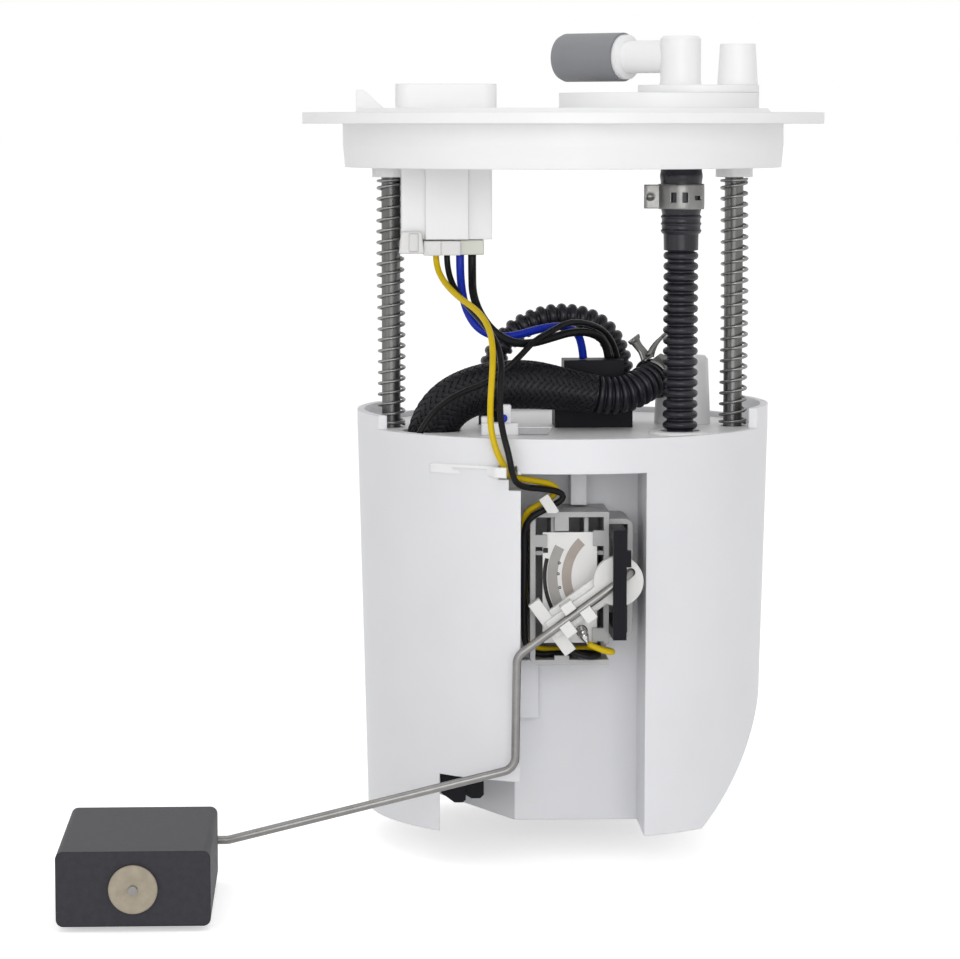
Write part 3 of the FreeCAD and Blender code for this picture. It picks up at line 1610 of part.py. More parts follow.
def arc_strip(name, inner, outer, start, sweep):
    """One printed arc on the card, centred on the pivot."""
    turn = FACING_FRONT.multiply(FreeCAD.Rotation(FreeCAD.Vector(0, 0, 1), start))
    ring = doc.addObject("Part::Cylinder", name + "_outer")
    ring.Radius = outer
    ring.Height = 0.15
    ring.Angle = sweep
    place(ring, size.pivot_x, size.card_front, pivot_z, turn)
    hole = cylinder(
        name + "_inner", size.pivot_x, size.card_front + 1, pivot_z, inner, 3, FACING_FRONT
    )
    return cut(name, ring, hole)


def make_arm():
    """The bent wire, its plastic carrier and the foam float on its end."""
    tilt = math.radians(size.arm_tilt.value)
    along_x = -math.cos(tilt)
    along_z = -math.sin(tilt)
    pivot = vector(size.pivot_x, size.arm_plane, pivot_z)
    hook_reach = 4.2
    bend_reach = size.arm_reach.value
    plane = size.arm_plane.value
    low_z = -size.arm_drop.value
    float_z = -size.float_drop.value
    bend = FreeCAD.Vector(pivot.x + along_x * bend_reach, plane, pivot.z + along_z * bend_reach)
    hook = FreeCAD.Vector(pivot.x - along_x * hook_reach, plane, pivot.z - along_z * hook_reach)
    front = (size.float_back - size.float_length - size.running_gap - size.washer_thickness).value
    spots = [
        (hook.x, plane + 6.5, hook.z),
        (hook.x, plane, hook.z),
        (bend.x, plane, bend.z),
        (bend.x - 0.5, plane, low_z),
        (size.arm_elbow_x.value, plane, float_z),
        (size.float_x.value, plane, float_z),
        (size.float_x.value, front - 1.2, float_z),
    ]
    tube("float_arm", spots, size.arm_wire, None, size.arm_bend.value)

    groove = size.arm_wire / 2 + size.slip
    rail = size.arm_wire / 2 + 1.5
    floor = size.arm_plane + groove
    hub_back = size.housing_front - size.clear_gap - 0.2
    hub_step = size.hub_front
    reach = size.carrier_reach
    blocks = [
        cylinder("hub_disc", 0, hub_step, 0, size.hub_diameter / 2, hub_step - floor, FACING_FRONT),
        cylinder("hub_barrel", 0, hub_back, 0, size.hub_diameter / 3, hub_back - hub_step, FACING_FRONT),
        local_box("carrier_plate", 0, reach, -4.4, 3.6, hub_step, hub_step + 2.2),
        local_box("carrier_bar", reach - 3.6, reach, -9, 8.6, floor + 2, hub_step + 2.2),
        local_box("carrier_spine", 2, reach - 1, -rail, rail, floor, hub_step + 1),
    ]
    for number, near in enumerate((10.5, 17.5)):
        blocks.append(local_box(
            "carrier_hook_%d" % number, near, near + 3.4, groove, rail + 1.4,
            size.arm_plane - groove - 0.9, hub_step,
        ))
        blocks.append(local_box(
            "carrier_lip_%d" % number, near, near + 3.4, 0.2, rail + 1.4,
            size.arm_plane - groove - 0.9, size.arm_plane - groove,
        ))
    blocks.append(local_box(
        "carrier_wall", 13.9, 17.5, -rail - 1.4, -groove, size.arm_plane - groove, hub_step,
    ))
    bore = cylinder(
        "hub_bore", 0, hub_back + 1, 0, size.axle_diameter / 2 + size.slip,
        hub_back - hub_step + 2.4, FACING_FRONT,
    )
    hook_hole = cylinder(
        "hub_hook_hole", -hook_reach, hub_back + 1, 0, groove, 20, FACING_FRONT
    )
    hook_slot = local_box(
        "hub_hook_slot", -hook_reach, 3.4 - hook_reach, -groove, groove, floor - 1, floor + 3.2
    )
    carrier = cut(
        "carrier_cut",
        fused("carrier_solid", blocks),
        fused("carrier_tools", [bore, hook_hole, hook_slot]),
    )
    turn = FreeCAD.Rotation(FreeCAD.Vector(0, 1, 0), 180 - size.arm_tilt.value)
    place(carrier, size.pivot_x, 0, pivot_z, turn)
    sub_part(carrier, "wiper_carrier")

    contact_front = hub_step + 2.2
    contacts = doc.addObject("Part::Compound", "contact_set")
    track_front = size.card_front - 0.15 - size.slip
    contacts.Links = [
        box("contact_%d" % number, near, near + 1, contact_front, track_front, -0.8, 0.8)
        for number, near in enumerate((13.4, 17.8))
    ]
    place(contacts, size.pivot_x, 0, pivot_z, turn)
    sub_part(contacts, "wiper_contacts")

    block = new_body("float_block")
    outline = new_sketch(block, "float_outline", "XZ_Plane", -size.float_back)
    draw_box(
        outline,
        size.float_x - size.float_width / 2, size.float_x + size.float_width / 2,
        -size.float_drop - size.float_height / 2, -size.float_drop + size.float_height / 2,
    )
    pad(block, outline, size.float_length)
    round_edges(
        block, size.float_edge, lambda edge: abs(abs(edge.Curve.Direction.y) - 1) < 1e-6
    )
    hole = new_sketch(block, "float_hole", "XZ_Plane", -size.float_back)
    draw_circle(hole, size.float_x, -size.float_drop, size.arm_wire / 2 + size.slip)
    pocket(block, hole, size.float_length + 1, back=True)
    mouth = new_sketch(block, "float_mouth", "XZ_Plane", -size.float_back)
    draw_circle(mouth, size.float_x, -size.float_drop, size.arm_wire + 0.6)
    pocket(block, mouth, size.arm_wire + 0.4, back=True)
    sub_part(block, "float")

    washer_back = size.float_back - size.float_length - size.running_gap
    washer = lathe("washer_disc", [
        (size.arm_wire / 2, 0),
        (size.washer_diameter / 2, 0),
        (size.washer_diameter / 2, size.washer_thickness - 0.2),
        (size.washer_diameter / 2 - 0.3, size.washer_thickness),
        (size.arm_wire / 2, size.washer_thickness),
    ], FACING_FRONT, size.float_x, washer_back, -size.float_drop)
    sub_part(washer, "float_washer")


# Wires, tubes and the sleeve, as routes through the module.

def make_cords():
    wire_start = -size.plug_drop.value
    connector_top = (cover_top_z + size.connector_rise + size.running_gap).value
    tube("wire_yellow", [
        (-37.6, -11, wire_start), (-37.6, -11, -41), (-35.6, -15, -45.5), (-31.7, -22.2, -49.6),
        (-26.5, -30.2, -52.9), (-23.4, -37.3, -57.1), (-22.5, -44.1, -62.9), (-23, -50, -70),
        (-23.8, -55, -77.5), (-23.9, -58.4, -84.5), (-22.4, -59.2, -90.6), (-20.2, -58.9, -95),
        (-18.6, -56.6, -98), (-15.4, -54, -99), (-11.2, -52.2, -99.8), (-6, -50.3, -101),
        (-4.1, -48.8, -103.3),
        (-8.9, -48.6, -106.6), (-13.6, -47.8, -109.2), (-14.1, -47.3, -114.4),
        (-13.9, -47.1, -121.5), (-13.8, -47.2, -131), (-13.9, -47, -140.5), (-13.7, -46.6, -146.2),
        (-10.6, -45.2, -148.6), (-5.4, -44, -149.1), (1.2, -43.4, -148.8), (7.4, -44.6, -148.9),
        (11.2, -47.6, -149), (10.9, -51.6, -148.8), (7.4, -52.6, -147.8), (4, -51.9, -146.3),
    ], size.thin_wire)
    tube("wire_black_thin", [
        (-34.4, -11, wire_start), (-34.4, -11, -42.5), (-31.9, -17.8, -48.7), (-28.1, -25.8, -53.1),
        (-24.5, -33.2, -57), (-21.2, -40.3, -61.6), (-20.2, -47, -67.2), (-20.9, -52.6, -74),
        (-21.2, -57.4, -81), (-20.3, -60.2, -86.6), (-18.9, -61.1, -91.6), (-18.1, -61.4, -96.2),
        (-16.9, -59.2, -99.9), (-13.4, -55.4, -101.5), (-9.6, -53.2, -101.9), (-3.8, -51.2, -103),
        (-2.6, -50.4, -105.2),
        (-8, -51.8, -107.9), (-13.1, -51.9, -110.6), (-14.2, -49.9, -115.6), (-13.8, -49.3, -122),
        (-14.1, -49.4, -131.5), (-13.9, -49.2, -141), (-13.7, -49.3, -147), (-10.6, -47.9, -149.8),
        (-5, -46.6, -149.8), (1, -46, -149.7), (5.6, -47.4, -149.7), (7.8, -50.6, -149.7),
        (4.4, -53.2, -150), (-0.4, -52.9, -148.8), (-3.4, -51.9, -146.3),
    ], size.thin_wire)
    tube("wire_blue", [
        (-30.6, -11, wire_start), (-30.6, -11, -43), (-30.2, -15.6, -48.8), (-29, -19.2, -54),
        (-26, -20.8, -58.8), (-20.8, -20, -61.4), (-14.6, -17, -61.2), (-8.2, -12.6, -59.6),
        (-1.8, -7.6, -58.8), (3, -3.4, -60), (5.6, -0.6, -63.4), (6.2, 0.4, connector_top),
    ], size.thick_wire)
    tube("wire_black_thick", [
        (-27.1, -11, wire_start), (-27.1, -11, -43.7), (-27.2, -18, -49), (-25.4, -22.8, -54.4),
        (-21.6, -24.8, -59.6), (-16.2, -23.6, -62.8), (-10.3, -19.1, -63.4), (-3.9, -13.4, -62),
        (2.2, -8, -60.6), (8, -3, -61), (13.1, 1.2, -64), (13.7, 1.8, connector_top),
    ], size.thick_wire)
    tube("wire_ground", [
        (16.5, 5, connector_top), (15.8, 4.2, -65.6), (12.8, 1.2, -61), (7.8, -4, -58.4),
        (1.6, -9.8, -57.4), (-4.5, -15.8, -60), (-9.7, -21.8, -62.4), (-14.2, -25, -67),
        (-19, -26.4, -71.2), (-24.6, -27, -74.6), (-30.4, -28, -76.6), (-36, -29.8, -79.6),
        (-40.8, -31.6, -83.9), (-44.2, -32.4, -90.4),
    ], size.thin_wire)
    hidden = (size.sleeve_x.value, size.sleeve_y.value)
    tube("braided_sleeve", [
        (8.7, -13, -78.5), (-1.6, -13.5, -76.7), (-12.6, -14.4, -75.2), (-24.6, -14.9, -76.2),
        (-34.6, -14.2, -81), hidden + (-89.8,), hidden[:1] + (hidden[1] + 0.4, -97),
    ], size.sleeve_diameter)
    tube("riser_tube", [
        (8.7, -13, -78.5), (15.4, -12.68, -79.67), RISER_BEFORE_END, RISER_END,
    ], size.riser_diameter)
    spigot_x = size.filter_spigot_x.value
    spigot_y = size.filter_spigot_y.value
    outlet_x = (size.pump_x + size.pump_outlet_offset).value
    outlet_y = size.pump_y.value
    tube("loop_tube", [
        (spigot_x, spigot_y, -size.cover_drop.value + 6), (spigot_x, spigot_y, -76.5),
        (-19.8, 8, -68.6), (-15, 8.2, -62.2), (-8.4, 8.6, -58.3), (-0.4, 9.6, -56.6),
        (8, 11, -57.8), (14.2, 12.6, -61.8), (17.8, 13.6, -68.4), (outlet_x, outlet_y, -76.6),
        (outlet_x, outlet_y, -size.pump_top_drop.value + size.pump_outlet_rise.value),
    ], size.loop_diameter)
    valve_top = (size.reservoir_wall - size.notch_top_drop).value
    tube("transfer_tube", [
        hidden[:1] + (hidden[1] + 0.4, -97), hidden[:1] + (hidden[1] + 0.8, -104.2),
        (-38.4, -15, -118), (-36.2, -21, -136), (-34.4, -27.4, -153), (-34, -33, -170),
        (-34, -33, valve_top + 0.3),
    ], size.transfer_diameter)

    # The spring band on the riser end, and the tie that bundles the sender wires.
    toward = FreeCAD.Vector(*RISER_END) - FreeCAD.Vector(*RISER_BEFORE_END)
    back = FreeCAD.Vector(*RISER_END) - FreeCAD.Vector(toward).normalize() * 5
    along = FreeCAD.Rotation(FreeCAD.Vector(0, 0, 1), toward)
    band_outer = cylinder(
        "band_outer", back.x, back.y, back.z, size.riser_diameter / 2 + 0.9, 3.4, along
    )
    band_inner = cylinder(
        "band_inner", back.x, back.y, back.z, size.riser_diameter / 2, 3.4, along
    )
    sub_part(cut("band_cut", band_outer, band_inner), "riser_clamp")
    tie = cut(
        "tie_loop",
        box("tie_outside", -1.5, 1.5, -3.4, 3.4, -2.9, 2.9),
        box("tie_inside", -2.5, 2.5, -2.8, 2.8, -2.3, 2.3),
    )
    place(tie, -7.2, -50.1, -106.7, FreeCAD.Rotation(FreeCAD.Vector(0, 1, 0), -33))
    below = box("tie_foot_cut", -12, 2, -60, -40, -size.housing_top_drop - 5, -size.housing_top_drop)
    sub_part(cut("tie_cut", tie, below), "cable_tie")


make_flange()
make_outlet()
make_terminals()
make_plug()
make_guides()
make_hose()
make_reservoir()
make_cover()
make_pump()
make_sender()
make_arm()
make_cords()
doc.recompute()

for thing in doc.Objects:
    if "Invalid" in thing.State or "Error" in thing.State:
        raise RuntimeError("%s did not recompute: %s" % (thing.Label, thing.State))
for piece in sub_parts:
    shape = piece.Shape
    if shape.isNull() or not shape.isValid() or not shape.Solids:
        raise RuntimeError("%s has no valid solid" % piece.Label)
    shape.exportStep("parts/%s.step" % piece.Label)
print("%d sub-parts written" % len(sub_parts))
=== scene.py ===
import math
import bmesh
import bpy
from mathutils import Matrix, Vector


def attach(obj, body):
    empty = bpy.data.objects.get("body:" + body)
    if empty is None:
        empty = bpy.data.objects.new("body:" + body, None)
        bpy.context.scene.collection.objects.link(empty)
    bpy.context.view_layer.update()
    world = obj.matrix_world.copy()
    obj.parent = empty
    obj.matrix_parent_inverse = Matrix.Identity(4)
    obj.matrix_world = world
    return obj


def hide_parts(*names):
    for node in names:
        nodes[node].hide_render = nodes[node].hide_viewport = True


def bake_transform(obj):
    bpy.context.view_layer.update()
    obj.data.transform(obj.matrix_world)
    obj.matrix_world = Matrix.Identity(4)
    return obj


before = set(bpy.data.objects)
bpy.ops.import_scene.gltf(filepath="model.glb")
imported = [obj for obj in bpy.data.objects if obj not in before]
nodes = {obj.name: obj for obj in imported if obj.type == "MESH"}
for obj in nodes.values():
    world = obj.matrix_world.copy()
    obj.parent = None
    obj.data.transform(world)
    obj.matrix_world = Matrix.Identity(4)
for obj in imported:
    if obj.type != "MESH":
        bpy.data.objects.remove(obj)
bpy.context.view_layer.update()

MM = 0.001
FLOOR_GAP = 1.5 * MM
FLOOR_LEVEL = -209.6 * MM - FLOOR_GAP
HOSE_X, HOSE_Y = 32.4 * MM, -25 * MM
ROD_X = 50.5 * MM


# Materials. Each is a node tree with colour variation, grain and softened edges.

COAT_ROUGHNESS = 0.25
SOFT_REACH = 2.5 * MM
SOFT_TINT = (1.0, 0.95, 0.9)
ROUGHNESS_SWING = 0.08
LEAST_ROUGHNESS = 0.02
GRAIN_STRENGTH = 0.6
PATCH_LOW, PATCH_HIGH = 0.3, 0.7


def material(name, color, rough, spread=0.06, patch=60, grain=1500, bump=0.02, edge=0.25,
             metallic=0.0, coat=0.0, soft=0.0, stretch=(1, 1, 1), ior=1.5, sheen=0.0):
    """A surface whose colour wanders by spread, with a fine grain and edges rounded by edge millimetres.

    Patch and grain are noise scales, bump is the grain's height in millimetres, and stretch scales both.
    """
    mat = bpy.data.materials.new(name)
    mat.use_nodes = True
    tree = mat.node_tree
    shader = tree.nodes["Principled BSDF"]
    shader.inputs["Metallic"].default_value = metallic
    shader.inputs["IOR"].default_value = ior
    shader.inputs["Coat Weight"].default_value = coat
    shader.inputs["Coat Roughness"].default_value = COAT_ROUGHNESS
    shader.inputs["Sheen Weight"].default_value = sheen
    if soft > 0:
        shader.inputs["Subsurface Weight"].default_value = soft
        shader.inputs["Subsurface Radius"].default_value = SOFT_TINT
        shader.inputs["Subsurface Scale"].default_value = SOFT_REACH
    place = tree.nodes.new("ShaderNodeTexCoord")
    squeeze = tree.nodes.new("ShaderNodeMapping")
    squeeze.inputs["Scale"].default_value = stretch
    tree.links.new(place.outputs["Object"], squeeze.inputs["Vector"])
    wander = tree.nodes.new("ShaderNodeTexNoise")
    wander.inputs["Scale"].default_value = patch
    wander.inputs["Detail"].default_value = 5
    ramp = tree.nodes.new("ShaderNodeValToRGB")
    ramp.color_ramp.elements[0].position = PATCH_LOW
    ramp.color_ramp.elements[1].position = PATCH_HIGH
    ramp.color_ramp.elements[0].color = [c * (1 - spread) for c in color] + [1]
    ramp.color_ramp.elements[1].color = [min(1, c * (1 + spread)) for c in color] + [1]
    tree.links.new(squeeze.outputs["Vector"], wander.inputs["Vector"])
    tree.links.new(wander.outputs["Fac"], ramp.inputs["Fac"])
    tree.links.new(ramp.outputs["Color"], shader.inputs["Base Color"])
    fine = tree.nodes.new("ShaderNodeTexNoise")
    fine.inputs["Scale"].default_value = grain
    fine.inputs["Detail"].default_value = 3
    tree.links.new(squeeze.outputs["Vector"], fine.inputs["Vector"])
    shine = tree.nodes.new("ShaderNodeMapRange")
    shine.inputs["To Min"].default_value = max(LEAST_ROUGHNESS, rough - ROUGHNESS_SWING)
    shine.inputs["To Max"].default_value = min(1, rough + ROUGHNESS_SWING)
    tree.links.new(fine.outputs["Fac"], shine.inputs["Value"])
    tree.links.new(shine.outputs["Result"], shader.inputs["Roughness"])
    raised = tree.nodes.new("ShaderNodeBump")
    raised.inputs["Strength"].default_value = GRAIN_STRENGTH
    raised.inputs["Distance"].default_value = bump * MM
    tree.links.new(fine.outputs["Fac"], raised.inputs["Height"])
    if edge > 0:
        round_off = tree.nodes.new("ShaderNodeBevel")
        round_off.samples = 4
        round_off.inputs["Radius"].default_value = edge * MM
        tree.links.new(round_off.outputs["Normal"], raised.inputs["Normal"])
    tree.links.new(raised.outputs["Normal"], shader.inputs["Normal"])
    return mat


white = material("white_acetal", (0.875, 0.875, 0.88), 0.42, 0.012, 40, 900, 0.02, 0.45, soft=0.25)
milky = material("milky_nylon", (0.77, 0.772, 0.795), 0.42, 0.015, 40, 900, 0.02, 0.45, soft=0.25)
green_nylon = material("greenish_nylon", (0.66, 0.68, 0.60), 0.4, 0.02, 60, 900, 0.02, 0.3, soft=0.2)
# The clear strip's grey colour is painted shade: it stands in for the cover's shadow seen through the
# strip.
clear_strip_painted_shade = material("clear_strip_painted_shade", (0.42, 0.42, 0.44), 0.16, 0.05, 80, 900, 0.01, 0, coat=0.6)
ivory = material("ivory_nylon", (0.74, 0.735, 0.72), 0.38, 0.03, 60, 900, 0.02, 0.3, soft=0.2)
grey = material("grey_acetal", (0.42, 0.42, 0.42), 0.42, 0.06, 80, 1200, 0.02, 0.25)
cap_grey = material("cap_grey", (0.235, 0.238, 0.252), 0.5, 0.05, 70, 1300, 0.03, 0.4)
black = material("black_plastic", (0.009, 0.009, 0.012), 0.42, 0.15, 90, 1200, 0.03, 0.25, ior=1.18)
tube_black = material("black_tube", (0.013, 0.0125, 0.018), 0.3, 0.2, 120, 900, 0.03, 0, ior=1.4)
braid_black = material("black_braid", (0.009, 0.009, 0.012), 0.45, 0.25, 200, 2500, 0.02, 0, ior=1.33)
rod_steel = material(
    "rod_steel", (0.135, 0.134, 0.132), 0.34, 0.4, 420, 2500, 0.02, 0.2, metallic=0.9,
    stretch=(1, 1, 0.02))
spring_steel = material("spring_steel", (0.26, 0.256, 0.25), 0.34, 0.1, 300, 2000, 0.01, 0, metallic=0.95)
arm_steel = material("arm_steel", (0.215, 0.21, 0.204), 0.3, 0.12, 200, 1600, 0.02, 0, metallic=0.92)
clamp_steel = material("clamp_steel", (0.2, 0.198, 0.192), 0.34, 0.18, 200, 1800, 0.02, 0.15, metallic=0.92)
dark_steel = material("phosphate_steel", (0.2, 0.2, 0.2), 0.5, 0.12, 200, 1400, 0.04, 0.2, metallic=0.6)
brass = material("tinned_brass", (0.62, 0.58, 0.48), 0.3, 0.1, 200, 1500, 0.02, 0.1, metallic=0.95)
magnet = material("ferrite", (0.05, 0.05, 0.055), 0.6, 0.2, 200, 1200, 0.05, 0.2)
foam = material(
    "nitrile_foam", (0.015, 0.014, 0.021), 0.66, 0.22, 500, 2600, 0.14, 0.8, ior=1.45, sheen=0.06)
washer_cream = material("washer_cream", (0.33, 0.285, 0.215), 0.5, 0.18, 240, 1500, 0.03, 0.2)
card_white = material("card_ceramic", (0.82, 0.815, 0.80), 0.35, 0.02, 120, 1500, 0.01, 0.1)
brown_ink = material("brown_ink", (0.40, 0.345, 0.305), 0.5, 0.1, 160, 2400, 0.02, 0)
grey_ink = material("grey_ink", (0.375, 0.36, 0.345), 0.5, 0.08, 160, 2400, 0.02, 0)
dark_ink = material("dark_ink", (0.022, 0.02, 0.02), 0.5, 0.5, 1400, 2600, 0.03, 0, ior=1.3)
solder = material("solder", (0.5, 0.49, 0.47), 0.2, 0.2, 700, 1500, 0.08, 0, metallic=0.95)
yellow = material("yellow_wire_skin", (0.67, 0.47, 0.002), 0.3, 0.08, 90, 900, 0.02, 0, ior=1.3)
blue = material("blue_wire_skin", (0.008, 0.028, 0.42), 0.3, 0.1, 90, 900, 0.02, 0, ior=1.28)
wire_black = material("black_wire_skin", (0.009, 0.009, 0.010), 0.3, 0.2, 90, 900, 0.02, 0, ior=1.22)

FINISH = {
    white: ["flange", "outlet_fitting", "regulator_housing", "reservoir_cover"],
    milky: ["reservoir"],
    ivory: ["cable_tie", "wiper_carrier"],
    grey: ["sender_housing", "pump_base", "pump_head"],
    cap_grey: ["outlet_cap"],
    black: [
        "pump_connector", "sender_clip", "foot_valve", "pump_impeller", "guide_bush_left",
        "guide_bush_right", "fuel_filter"],
    tube_black: ["transfer_tube"],
    braid_black: ["inlet_strainer"],
    rod_steel: ["guide_rod_left", "guide_rod_right"],
    arm_steel: ["float_arm", "pump_case"],
    clamp_steel: ["rod_clip_left", "rod_clip_right"],
    dark_steel: ["motor_rotor", "pressure_regulator"],
    brass: ["terminal_pins", "wiper_contacts"],
    magnet: ["motor_magnets", "motor_brushes"],
    foam: ["float"],
    washer_cream: ["float_washer"],
    card_white: ["resistor_card"],
}
for finish, names in FINISH.items():
    for name in names:
        nodes[name].data.materials.clear()
        nodes[name].data.materials.append(finish)


# Curves, and the meshes that follow them.

def mm(points):
    return [Vector(point) * MM for point in points]


def centreline(points, detail=16):
    """The points of one smooth open spline through the route, read from a curve with no bevel."""
    curve = bpy.data.curves.new("route", "CURVE")
    curve.dimensions = "3D"
    curve.resolution_u = detail
    spline = curve.splines.new("NURBS")
    spline.points.add(len(points) - 1)
    for slot, point in zip(spline.points, points):
        slot.co = (*point, 1)
    spline.order_u = 3
    spline.use_endpoint_u = True
    carrier = bpy.data.objects.new("route", curve)
    bpy.context.scene.collection.objects.link(carrier)
    mesh = bpy.data.meshes.new_from_object(carrier)
    line = [vertex.co.copy() for vertex in mesh.vertices]
    bpy.data.objects.remove(carrier)
    bpy.data.meshes.remove(mesh)
    return line


def length_of(line):
    return sum((b - a).length for a, b in zip(line, line[1:]))


def stations(line, step):
    """Evenly spaced points along a line, with the distance of each from the start."""
    total = length_of(line)
    count = max(2, round(total / step))
    wanted = [total * i / count for i in range(count + 1)]
    found = []
    run = 0
    spot = 0
    for a, b in zip(line, line[1:]):
        size = (b - a).length
        while spot <= count and (wanted[spot] <= run + size or b is line[-1]):
            share = min(1, (wanted[spot] - run) / max(size, 1e-12))
            found.append((a.lerp(b, share), wanted[spot]))
            spot += 1
        run += size
    return found


def frames(spots):
    """A turning-free pair of cross directions for each station."""
    tangents = []
    for i in range(len(spots)):
        before = spots[max(0, i - 1)][0]
        after = spots[min(len(spots) - 1, i + 1)][0]
        tangents.append((after - before).normalized())
    side = tangents[0].orthogonal().normalized()
    if abs(tangents[0].y) < 0.9:
        side = (Vector((0, 1, 0)) - tangents[0] * tangents[0].y).normalized()
    pairs = []
    for tangent in tangents:
        side = (side - tangent * side.dot(tangent)).normalized()
        pairs.append((side, tangent.cross(side)))
    return pairs


def mesh_object(name, verts, faces, finish, smooth=True):
    mesh = bpy.data.meshes.new(name)
    mesh.from_pydata([tuple(v) for v in verts], [], faces)
    mesh.update()
    mesh.polygons.foreach_set("use_smooth", [smooth] * len(mesh.polygons))
    mesh.materials.append(finish)
    piece = bpy.data.objects.new(name, mesh)
    bpy.context.scene.collection.objects.link(piece)
    return piece


def joined(name, parts, smooth=False):
    """One object from several (verts, faces, finish) parts, with a material slot for each finish."""
    verts = []
    faces = []
    finishes = []
    for part_verts, part_faces, finish in parts:
        base = len(verts)
        verts += part_verts
        faces += [tuple(base + k for k in face) for face in part_faces]
        finishes += [finish] * len(part_faces)
    piece = mesh_object(name, verts, faces, finishes[0], smooth)
    palette = list(dict.fromkeys(finishes))
    for finish in palette[1:]:
        piece.data.materials.append(finish)
    piece.data.polygons.foreach_set("material_index", [palette.index(finish) for finish in finishes])
    return piece


def block(low, high, finish, edge=0.3, lean=0, pinch=0):
    """A block with rounded edges between two corners in millimetres. Its foot can lean in X and pinch."""
    form = bmesh.new()
    bmesh.ops.create_cube(form, size=1)
    for vertex in form.verts:
        share = [0.5 + part for part in vertex.co]
        spot = [low[i] + (high[i] - low[i]) * share[i] for i in range(3)]
        spot[0] += (1 - share[2]) * (lean + pinch * (0.5 - share[0]) * 2)
        vertex.co = Vector(spot) * MM
    bmesh.ops.bevel(
        form, geom=form.edges[:], offset=edge * MM, segments=3, profile=0.5, affect="EDGES")
    verts = [vertex.co.copy() for vertex in form.verts]
    form.verts.index_update()
    faces = [tuple(vertex.index for vertex in face.verts) for face in form.faces]
    form.free()
    return verts, faces, finish


def band(centre, inner, outer, start, sweep, front, back, finish, steps=40):
    """A flat arc seen from the front, in millimetres and degrees, round a centre given by X and Z."""
    verts = []
    faces = []
    for i in range(steps + 1):
        turn = math.radians(start + sweep * i / steps)
        for radius, depth in ((inner, front), (outer, front), (outer, back), (inner, back)):
            verts.append(Vector((
                centre[0] + radius * math.cos(turn), depth, centre[1] + radius * math.sin(turn))) * MM)
    for i in range(steps):
        for k in range(4):
            a, b = 4 * i + k, 4 * i + (k + 1) % 4
            faces.append((a, b, b + 4, a + 4))
    if sweep < 360:
        faces.append((0, 1, 2, 3))
        faces.append(tuple(4 * steps + k for k in (3, 2, 1, 0)))
    return verts, faces, finish


def swept(name, line, radius, finish, step, sides=20):
    verts, faces, finish = tube_part(line, radius, finish, step, sides)
    return mesh_object(name, verts, faces, finish)


def tube_part(line, radius, finish, step, sides=20):
    """A tube along a line whose radius is a number or a function of the distance from its start."""
    spots = stations(line, step)
    pairs = frames(spots)
    verts = []
    faces = []
    for (spot, run), (side, up) in zip(spots, pairs):
        size = radius(run) if callable(radius) else radius
        for k in range(sides):
            turn = 2 * math.pi * k / sides
            verts.append(spot + (side * math.cos(turn) + up * math.sin(turn)) * size)
    for i in range(len(spots) - 1):
        for k in range(sides):
            j = (k + 1) % sides
            faces.append((i * sides + k, i * sides + j, (i + 1) * sides + j, (i + 1) * sides + k))
    last = (len(spots) - 1) * sides
    faces.append(tuple(range(sides))[::-1])
    faces.append(tuple(last + k for k in range(sides)))
    return verts, faces, finish


BEAD_HALF = 0.39


def bead(share):
    """Height, 0 to 1, of a rounded ring that fills the middle of one fold."""
    across = (share - 0.5) / BEAD_HALF
    return math.sqrt(max(0, 1 - across * across))


def folds(start, pitch, root, crest, end):
    """Radius along a corrugated tube: rounded crests with narrow valleys."""
    def radius(run):
        if run < start or run > end:
            return root
        return root + (crest - root) * bead(((run - start) / pitch) % 1)
    return radius


# The leads. Those from the harness plug run down to the pump plug or the rim.

FLANGE_TO_TOP = ((0, 0, -0.0395), (0, 0, -0.0685))
FLANGE_TO_RIM = ((0, 0, -0.0395), (0, 0, -0.0850))
WIRE_STEP = 0.8 * MM


def wire(name, node, points, diameter, finish, span):
    """A lead along its route. With a span, whose heights are not used, it stays fixed where it is built;
    without one, it rides on the reservoir.
    """
    line = centreline(mm(points))
    piece = swept(name, line, diameter / 2 * MM, finish, WIRE_STEP, 16)
    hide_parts(node)
    if span:
        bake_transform(piece)
    else:
        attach(piece, "reservoir")


YELLOW = [
    (-37.6, -11, -37.7), (-37.6, -11, -41), (-35.6, -15, -45.5), (-31.7, -22.2, -49.6),
    (-26.5, -30.2, -52.9), (-23.4, -37.3, -57.1), (-22.5, -44.1, -62.9), (-23, -50, -70),
    (-23.8, -55, -77.5), (-23.9, -58.4, -84.5), (-22.4, -59.2, -90.6), (-20.2, -58.9, -95),
    (-18.6, -56.6, -98), (-15.4, -54, -99), (-11.2, -52.2, -99.8), (-6, -50.3, -101),
    (-4.1, -48.8, -103.3),
    (-8.9, -48.6, -106.6), (-13.6, -47.8, -109.2), (-14.1, -47.3, -114.4),
    (-13.9, -47.1, -121.5), (-13.8, -47.2, -131), (-13.9, -47, -140.5), (-13.7, -46.6, -146.2),
    (-10.6, -45.2, -148.6), (-5.4, -44, -149.1), (1.2, -43.4, -148.8), (7.4, -44.6, -148.9),
    (11.2, -47.6, -149), (10.9, -51.6, -148.8), (7.4, -52.6, -147.8), (4, -51.9, -146.3),
]
